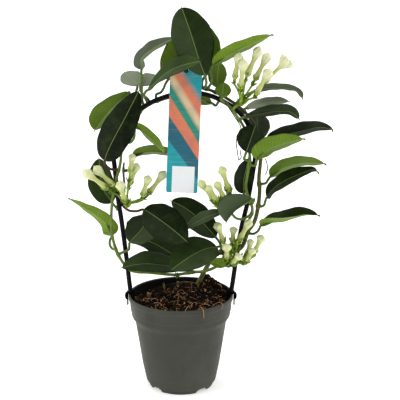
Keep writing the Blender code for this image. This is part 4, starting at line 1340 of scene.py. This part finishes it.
def soil_ground(heap):
    """The top faces of the heap, as a mesh to scatter over."""
    work = bmesh.new()
    work.from_mesh(heap.data)
    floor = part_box("potting_soil")[0].z
    hidden = [f for f in work.faces if f.normal.z < 0.2 or f.calc_center_median().z < floor + 60 * MM]
    bmesh.ops.delete(work, geom=hidden, context="FACES")
    return built("ground", work)


def crumb_template(seed, steps=1, rough=0.28):
    """An uneven grain of radius 1."""
    dice = random.Random(seed)
    work = bmesh.new()
    bmesh.ops.create_icosphere(work, subdivisions=steps, radius=1.0)
    for v in work.verts:
        v.co *= dice.uniform(1 - rough, 1 + rough)
    return built("crumb", work)


def lump_template(seed):
    return crumb_template(seed, 2, 0.2)


def fibre_template(seed, bend=0.22, thick=0.024):
    """A curled thread about 1 long in X."""
    dice = random.Random(seed)
    bends = [dice.uniform(-bend, bend) for _ in range(6)]
    t = np.linspace(0, 1, 15)
    side = sum(b * np.sin(math.pi * (k + 1) * t) for k, b in enumerate(bends[:3]))
    rise = sum(0.35 * b * np.sin(math.pi * (k + 1) * t) for k, b in enumerate(bends[3:]))
    rise = rise + 0.18 * np.sin(math.pi * t)
    shell = Shell()
    shell.tube(np.stack([t - 0.5, side, rise], axis=-1), np.linspace(thick, thick * 0.5, 15), 4, 0)
    return shell.mesh("fibre")


def curl_template(seed):
    return fibre_template(seed, 0.42, 0.027)


def chip_template(seed):
    """A flat splinter about 1 long in X."""
    dice = random.Random(seed)
    work = bmesh.new()
    bmesh.ops.create_cube(work, size=1.0)
    bmesh.ops.scale(work, vec=(1.0, 0.34, 0.12), verts=work.verts)
    bmesh.ops.subdivide_edges(work, edges=work.edges, cuts=1)
    for v in work.verts:
        v.co += Vector([dice.uniform(-0.05, 0.05) for _ in range(3)])
    return built("chip", work)


def press_into_pot(piece):
    """Moves what reaches into the pot's wall back to its inner face."""
    inner = pot_profile()[3:9]                    # the corners of the inner face, up to the rim
    spots = np.array([v.co for v in piece.data.vertices])
    wall = np.interp(spots[:, 2], inner[:, 1], inner[:, 0]) - 0.2 * MM
    spots[:, :2] *= np.minimum(1, wall / np.maximum(np.hypot(spots[:, 0], spots[:, 1]), MM))[:, None]
    piece.data.vertices.foreach_set("co", spots.ravel())
    piece.data.update()


def spread(heap, name, make, material, density, sizes, seed, tilt):
    """Scatters five templates over the soil as one piece; the sizes are the smallest and largest."""
    templates = [make(seed + k) for k in range(5)]
    tree = scatter_tree(name, material, templates)
    small, large = ((size * MM,) * 3 for size in sizes)
    piece = grown(name, soil_ground(heap), tree, density=density, smallest=small, largest=large,
                  seed=seed, tilt=tilt)
    drop(*templates)
    press_into_pot(piece)
    return settle(piece, "soil")


def pale_root(material):
    """A thin bare root arching from the short stub to the main shoot."""
    stub, _ = tube_line("cutting_stub", STUB_REACH)
    top = max(stub, key=lambda p: p[2]) - np.array([0, 0, 1.5 * MM])
    shoot = shoot_lines["stem_right"][0]
    end = shoot[int(np.argmin(np.abs(shoot[:, 2] - top[2])))]
    knots = np.array([top, top * 0.7 + end * 0.3, top * 0.3 + end * 0.7, end])
    knots[1:3, 2] += np.array([1.6, 1.0]) * MM
    return rod("pale_root", [(resampled(knots, 40), np.full(40, 0.45 * MM))], material, "soil",
               sides=7, spacing=0.8 * MM, unevenness=0.3 * MM)


def stray_fibres(heap, material):
    """Loose fibres that loop above the soil, and two that hang over the rim."""
    dice = random.Random(53)
    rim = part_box("pot")[1].z
    lines = []
    # Over the rim: where it hangs, and how far below the rim it ends, in mm
    for degrees, hang in ((24, 9), (50, 4)):
        turn = math.radians(degrees)
        out = np.array([math.sin(turn), -math.cos(turn), 0])
        across = np.array([-out[1], out[0], 0])
        lines.append([out * reach * MM + across * dice.uniform(-1.5, 1.5) * MM
                      + [0, 0, rim + high * MM] for reach, high in
                      ((44, -8), (51, -1), (57.5, 2), (61.2, -0.5), (61.6, -hang))])
    ground = np.array([v.co for v in heap.data.vertices])
    # On the soil: the middle of each loop, in mm
    for place in ((42, 24), (46, 16), (36, 30), (-34, -8), (-26, -20), (-40, 2), (8, -38), (28, -30),
                  (14, -24)):
        away = np.linalg.norm(ground[:, :2] - np.array(place) * MM, axis=1)
        spot = ground[np.argmin(away - ground[:, 2] * 0.5)]
        ahead = unit(np.array([dice.uniform(-1, 1), dice.uniform(-0.6, 0.6), 0]))
        span, high = dice.uniform(4, 8) * MM, dice.uniform(2, 7) * MM
        lines.append([spot + ahead * span * at + [0, 0, high * up - 1 * MM]
                      + np.array([dice.uniform(-1, 1), dice.uniform(-1, 1), 0]) * MM
                      for at, up in ((-1, -0.2), (-0.9, 0.7), (0, 1.0), (0.9, 0.6), (0.6, -0.1))])
    threads = [(resampled(np.array(knots), 40), np.linspace(0.26, 0.15, 40) * MM) for knots in lines]
    return rod("stray_fibres", threads, material, "soil", sides=6, spacing=0.8 * MM,
               unevenness=0.12 * MM)


# ---------------------------------------------------------------- tag and hook

def tag_frame():
    """Middle, directions (across, up, out of the card) and sizes of the tag."""
    points = np.unique(np.round([v.co for v in frame["nodes"]["tag"].data.vertices], 7), axis=0)
    centre = (points.min(0) + points.max(0)) / 2
    far = points[np.linalg.norm(points - centre, axis=1) > 40 * MM]
    _, _, axes = np.linalg.svd(far - far.mean(0), full_matrices=False)
    up = axes[0] * np.sign(axes[0][2])
    out = axes[2] * -np.sign(axes[2][1])
    across = np.cross(up, out)
    spans = (far - far.mean(0)) @ np.array([across, up, out]).T
    sizes = spans.max(0) - spans.min(0)
    middle_point = far.mean(0) + ((spans.max(0) + spans.min(0)) / 2) @ np.array([across, up, out])
    return middle_point, np.array([across, up, out]), sizes


def card_outline(half, corner):
    """Points round a card with round corners."""
    outline = []
    for x, y, start in ((1, 1, 0), (-1, 1, 90), (-1, -1, 180), (1, -1, 270)):
        for turn in range(0, 91, 15):
            a = math.radians(start + turn)
            outline.append((x * (half[0] - corner) + math.cos(a) * corner,
                            y * (half[1] - corner) + math.sin(a) * corner))
    return outline


def build_tag(materials, s):
    """Card with round corners and a hung hole, very slightly bowed."""
    origin, axes, sizes = tag_frame()
    half, bore = sizes / 2, 2.9 * MM
    hole = [(bore * math.cos(a), half[1] - 9 * MM + bore * math.sin(a)) for a in around(32)]
    work = bmesh.new()
    for loop in (card_outline(half, 2.5 * MM), hole):
        ring = [work.verts.new((*p, 0)) for p in loop]
        for a, b in zip(ring, ring[1:] + ring[:1]):
            work.edges.new((a, b))
    bmesh.ops.triangle_fill(work, use_beauty=True, edges=work.edges)
    for level in np.linspace(-half[1], half[1], 26)[1:-1]:
        bmesh.ops.bisect_plane(work, geom=work.verts[:] + work.edges[:] + work.faces[:],
                               plane_co=(0, level, 0), plane_no=(0, 1, 0))
    bmesh.ops.recalc_face_normals(work, faces=work.faces)
    if sum(f.normal.z for f in work.faces) < 0:
        bmesh.ops.reverse_faces(work, faces=work.faces)
    bmesh.ops.solidify(work, geom=work.faces[:], thickness=sizes[2])
    levels = [v.co.z for v in work.verts]
    middle_z = (min(levels) + max(levels)) / 2
    flat = work.loops.layers.uv.new("flat")
    for face in work.faces:
        face.smooth = False
        face.material_index = 0 if abs(face.normal.z) > 0.5 else 1
        for face_corner in face.loops:
            x, y, _ = face_corner.vert.co
            face_corner[flat].uv = (x / sizes[0] + 0.5, y / sizes[1] + 0.5)
    for v in work.verts:
        x, y, z = v.co
        bow = s.bow * (1 - (y / half[1]) ** 2)
        v.co = Vector(origin + x * axes[0] + y * axes[1] + (z - middle_z + bow) * axes[2])
    bmesh.ops.recalc_face_normals(work, faces=work.faces)
    return settle(built("hang_tag", work, materials), "tag", "tag")


def rounded_copy(node, name, material, swell):
    """A merged copy of a solid, smoothed by subdivision and swollen back to its size."""
    work = welded(node)
    bmesh.ops.dissolve_limit(work, angle_limit=0.01, verts=work.verts, edges=work.edges)
    copy = built(name, work)
    step = copy.modifiers.new("round", "SUBSURF")
    step.levels = step.render_levels = 2
    made = outcome(copy)
    copy.data = made
    made.materials.clear()
    made.materials.append(material)
    made.shade_smooth()
    for v, normal in zip(made.vertices, [n.vector.copy() for n in made.vertex_normals]):
        v.co += normal * swell
    return copy


def clip_copies(work):
    """Keeps only the two clips at the feet of the hoop, closed where the rod stood."""
    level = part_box("pot")[1].z + 2.4 * MM
    cut = bmesh.ops.bisect_plane(work, geom=work.verts[:] + work.edges[:] + work.faces[:],
                                 plane_co=(0, 0, level), plane_no=(0, 0, 1), clear_outer=True)
    edges = [e for e in cut["geom_cut"] if isinstance(e, bmesh.types.BMEdge)]
    bmesh.ops.holes_fill(work, edges=edges, sides=0)
    bmesh.ops.dissolve_limit(work, angle_limit=0.02, verts=work.verts, edges=work.edges)
    ends = [max((v.co.x for v in work.verts), key=lambda x, way=way: x * way) for way in (1, -1)]
    sharp = [e for e in work.edges if len(e.link_faces) == 2 and e.calc_face_angle(0) > 0.5]
    bmesh.ops.bevel(work, geom=sharp, offset=0.35 * MM, segments=2, affect="EDGES", clamp_overlap=True)
    for way, end in zip((1, -1), ends):
        place = Matrix.Translation((end + way * 0.5 * MM, 0, level - 5.2 * MM))
        shape = place @ Matrix.Diagonal((1.9 * MM, 2.6 * MM, 4.6 * MM, 1))
        ear = bmesh.ops.create_uvsphere(work, u_segments=20, v_segments=12, radius=1, matrix=shape)
        for face in {f for v in ear["verts"] for f in v.link_faces}:
            face.smooth = True
    bmesh.ops.recalc_face_normals(work, faces=work.faces)


# ---------------------------------------------------------------- studio

def studio_world(s):
    """Soft light that is strong from the sides and above, and weak from in front."""
    world = bpy.data.worlds.new("studio")
    world.use_nodes = True
    n = Nodes(world.node_tree)
    way = n.node("SeparateXYZ", {0: n.node("TexCoord", output="Generated")}).node.outputs
    aside = n.times(n.times(way[0], way[0]), s.sides)
    above = n.times(n.over_zero(way[2]), s.sky)
    behind = n.times(n.over_zero(way[1]), s.sky * 0.6)
    level = n.plus(n.plus(aside, above), n.plus(behind, s.ambient))
    seen = n.node("LightPath", output="Is Camera Ray")
    background = n.tree.nodes["Background"].inputs
    n.tree.links.new(n.maths("MAXIMUM", level, seen), background["Strength"])
    background["Color"].default_value = WHITE
    return world


def studio_floor(s):
    """A wide floor, outside the model, that glows a little more far away."""
    mesh = bpy.data.meshes.new("studio_floor")
    mesh.from_pydata([(-30, -30, 0), (30, -30, 0), (30, 30, 0), (-30, 30, 0)], [], [(0, 1, 2, 3)])
    r = Recipe("pale_floor", 0.9, 0.0, Emission_Color=WHITE)
    far = r.node("VectorMath", {0: r.object_place()}, output=1, operation="LENGTH")
    r.tree.links.new(r.fade(far, 0.25, 1.6, s.glow, s.glow * 1.6), r.sockets["Emission Strength"])
    mesh.materials.append(r.finish(s.floor))
    linked("studio_floor", mesh)


# ---------------------------------------------------------------- operators

class JASMINE_OT_stage(bpy.types.Operator):
    """Pale floor, soft studio light and the camera"""
    bl_idname = "jasmine.stage"
    bl_label = "Stage"

    def execute(self, context):
        s = context.scene.jasmine_stage
        scene = context.scene
        studio_floor(s)
        scene.world = studio_world(s)
        scene.view_settings.view_transform = "Standard"
        for name, place, size, power in (("left", (-1.5, -0.5, 1.1), 1.1, s.side_power),
                                         ("right", (1.5, -0.3, 0.9), 1.1, s.side_power * 0.8),
                                         ("top", (-0.2, 0.2, 2.2), 1.4, s.top_power)):
            light = bpy.data.lights.new(name, "AREA")
            light.size, light.energy = size, power
            lamp = linked(name, light)
            lamp.location = place
            from_plant = Vector(place) - Vector((0, 0, 0.25))
            lamp.rotation_euler = from_plant.to_track_quat("Z", "Y").to_euler()
        lens = bpy.data.cameras.new("camera")
        lens.lens, lens.sensor_width, lens.clip_end = s.lens, 36, 100
        camera = linked("camera", lens)
        camera.location = (s.aside, -s.distance, s.height)
        camera.rotation_euler = (math.pi / 2 - s.tilt, 0, 0)
        scene.camera = camera
        return {"FINISHED"}


class JASMINE_OT_pot(bpy.types.Operator):
    """Turned grey nursery pot with rounded edges, drain holes and foot arches"""
    bl_idname = "jasmine.pot"
    bl_label = "Nursery Pot"

    def execute(self, context):
        s = context.scene.jasmine_pot
        plastic = pot_material(s)
        inner_shade = crumb_material("soil_stained_plastic", s.inside, scaled(s.inside, 0.6), 90)
        pot = lathe("nursery_pot", eased(pot_profile(), s.lip), s.steps, [plastic, inner_shade])
        carve(pot, pot_openings())
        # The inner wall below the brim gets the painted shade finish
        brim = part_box("pot")[1].z - 1 * MM
        for face in pot.data.polygons:
            place = face.center
            inward = face.normal.x * place.x + face.normal.y * place.y < 0
            face.material_index = int(inward and 20 * MM < place.z < brim)
        pot.data.shade_smooth()
        pot.data.set_sharp_from_angle(angle=math.radians(40))
        settle(pot, "pot", "pot")
        return {"FINISHED"}


class JASMINE_OT_soil(bpy.types.Operator):
    """Dark peat with crumbs, coir fibres and chips on top"""
    bl_idname = "jasmine.soil"
    bl_label = "Potting Soil"

    def execute(self, context):
        s = context.scene.jasmine_soil
        heap = soil_heap(crumb_material("dark_peat", shade(5, 4, 3), s.peat, 260), s)
        # Piece, template, finish, its two tints and scale, density, sizes in mm, seed and tilt
        for name, make, finish, tint, other, scale, density, sizes, seed, tilt in (
                ("soil_crumbs", crumb_template, "peat_crumbs", s.peat, s.brown, 240,
                 s.crumbs, (0.4, 1.8), 11, 3.0),
                ("soil_lumps", lump_template, "peat_lumps", shade(9, 6, 5), s.peat, 150,
                 s.crumbs * 0.05, (1.8, 3.6), 17, 3.0),
                ("soil_fibres", fibre_template, "thin_coir", s.coir, s.brown, 180,
                 s.fibres, (5, 12), 23, 0.5),
                ("soil_curls", curl_template, "coir", s.coir, shade(150, 98, 60), 160,
                 s.curls, (8, 15), 29, 0.4),
                ("soil_chips", chip_template, "wood_chip", s.chip, shade(150, 104, 66), 160,
                 s.chips, (2.5, 8.0), 37, 0.4),
                ("soil_grit", crumb_template, "pale_grit", shade(206, 186, 168), s.chip, 200,
                 s.grit, (0.35, 0.8), 41, 3.0)):
            material = crumb_material(finish, tint, other, scale)
            spread(heap, name, make, material, density, sizes, seed, tilt)
        stray_fibres(heap, crumb_material("stray_coir", shade(226, 176, 124), s.coir, 160))
        pale_root(crumb_material("bare_root", shade(128, 112, 96), shade(92, 76, 62), 300))
        return {"FINISHED"}


class JASMINE_OT_hoop(bpy.types.Operator):
    """Black plastic hoop with its two clips over the rim"""
    bl_idname = "jasmine.hoop"
    bl_label = "Hoop"

    def execute(self, context):
        tint = context.scene.jasmine_pot.hoop
        points, radii = tube_line("hoop", 2.5 * MM)
        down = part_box("pot")[1].z + 1.2 * MM
        points = np.vstack([[*points[0][:2], down], points, [*points[-1][:2], down]])
        rod("hoop_rod", [(resampled(points, 420), np.full(420, radii.max()))],
            plain_plastic("black_hoop_plastic", tint, 0.4, 700, 0.08), "hoop", "hoop",
            sides=20, spacing=2 * MM)
        work = welded("hoop")
        clip_copies(work)
        plastic = plain_plastic("black_clip_plastic", tint, 0.6, 700, 0.0)
        settle(built("hoop_clips", work, [plastic]), "hoop")
        return {"FINISHED"}


class JASMINE_OT_leaves(bpy.types.Operator):
    """Waxy leaves on their stalks"""
    bl_idname = "jasmine.leaves"
    bl_label = "Leaves"

    def execute(self, context):
        s = context.scene.jasmine_leaves
        point = plain_plastic("dry_leaf_point", shade(58, 48, 30), 0.6, 800)
        materials = [leaf_upper_material(s), leaf_under_material(s), petiole_material(s), point]
        for node in leaf_plans:
            build_leaf(node, materials, s)
        return {"FINISHED"}


class JASMINE_OT_flowers(bpy.types.Operator):
    """Sprays of cream buds on green stalks"""
    bl_idname = "jasmine.flowers"
    bl_label = "Flower Sprays"

    def execute(self, context):
        s = context.scene.jasmine_flowers
        materials = [flower_material(s), stalk_material(s)]
        feet = []
        for node in spray_plans:
            feet += build_spray(node, materials, s)
        build_calyces(feet + young_side_bud(), materials[1], s)
        return {"FINISHED"}


class JASMINE_OT_shoots(bpy.types.Operator):
    """Twining shoots, thicker where leaves and sprays join them, with ties and dead stubs"""
    bl_idname = "jasmine.shoots"
    bl_label = "Shoots"

    def execute(self, context):
        s = context.scene.jasmine_shoots
        green = shoot_material("green_shoot", s.green, shade(114, 134, 58), shade(160, 168, 104))
        bark = shoot_material("woody_shoot", s.bark, shade(96, 96, 50), shade(170, 164, 120),
                              shade(142, 142, 88))
        for node in SHOOTS:
            material = bark if node == "stem_right" else green
            rod(node.replace("stem_", "shoot_"), [shoot_shape(node, s)], material, "stem", node,
                spacing=s.spacing, unevenness=s.roughness)
        wire = plain_plastic("tie_coating", s.wire, 0.4, 900)
        for node in ("tie_upper", "tie_right"):
            even_rod(node.replace("tie_", "wire_"), node, 0.8 * MM, 90, wire, "tie", 1.3, sides=8,
                     spacing=0.6 * MM)
        dead = crumb_material("dead_stub", shade(128, 112, 88), shade(78, 64, 46), 260)
        for node in ("cutting_stub", "old_stub"):
            even_rod("dry_" + node, node, STUB_REACH, 24, dead, "stub", spacing=0.7 * MM,
                     unevenness=1.1 * MM)
        return {"FINISHED"}


class JASMINE_OT_tag(bpy.types.Operator):
    """Printed hang tag on its hook"""
    bl_idname = "jasmine.tag"
    bl_label = "Hang Tag"

    def execute(self, context):
        s = context.scene.jasmine_tag
        core = plain_plastic("card_core", shade(232, 232, 228), 0.6, 900)
        build_tag([tag_material(s), core], s)
        black = plain_plastic("black_hook_plastic", context.scene.jasmine_pot.hoop, 0.35, 700)
        settle(rounded_copy("tag_hook", "hook_of_tag", black, 0.3 * MM), "tag_hook", "tag_hook")
        return {"FINISHED"}


class JASMINE_PT_panel(bpy.types.Panel):
    """Builds the potted jasmine piece by piece"""
    bl_label = "Potted Jasmine"
    bl_idname = "JASMINE_PT_panel"
    bl_space_type = "VIEW_3D"
    bl_region_type = "UI"
    bl_category = "Jasmine"

    def draw(self, context):
        for operator in OPERATORS:
            self.layout.operator(operator.bl_idname)


SETTINGS = {"jasmine_leaves": LeafSettings, "jasmine_flowers": FlowerSettings,
            "jasmine_shoots": ShootSettings, "jasmine_pot": PotSettings, "jasmine_soil": SoilSettings,
            "jasmine_tag": TagSettings, "jasmine_stage": StageSettings}
OPERATORS = (JASMINE_OT_stage, JASMINE_OT_pot, JASMINE_OT_soil, JASMINE_OT_hoop, JASMINE_OT_leaves,
             JASMINE_OT_flowers, JASMINE_OT_shoots, JASMINE_OT_tag)


def register():
    for name, group in SETTINGS.items():
        bpy.utils.register_class(group)
        setattr(bpy.types.Scene, name, PointerProperty(type=group))
    for item in OPERATORS + (JASMINE_PT_panel,):
        bpy.utils.register_class(item)


def unregister():
    for item in (JASMINE_PT_panel,) + OPERATORS[::-1]:
        bpy.utils.unregister_class(item)
    for name, group in SETTINGS.items():
        delattr(bpy.types.Scene, name)
        bpy.utils.unregister_class(group)


def main():
    register()
    for operator in OPERATORS:
        family, name = operator.bl_idname.split(".")
        getattr(getattr(bpy.ops, family), name)()


if __name__ == "__main__":
    main()
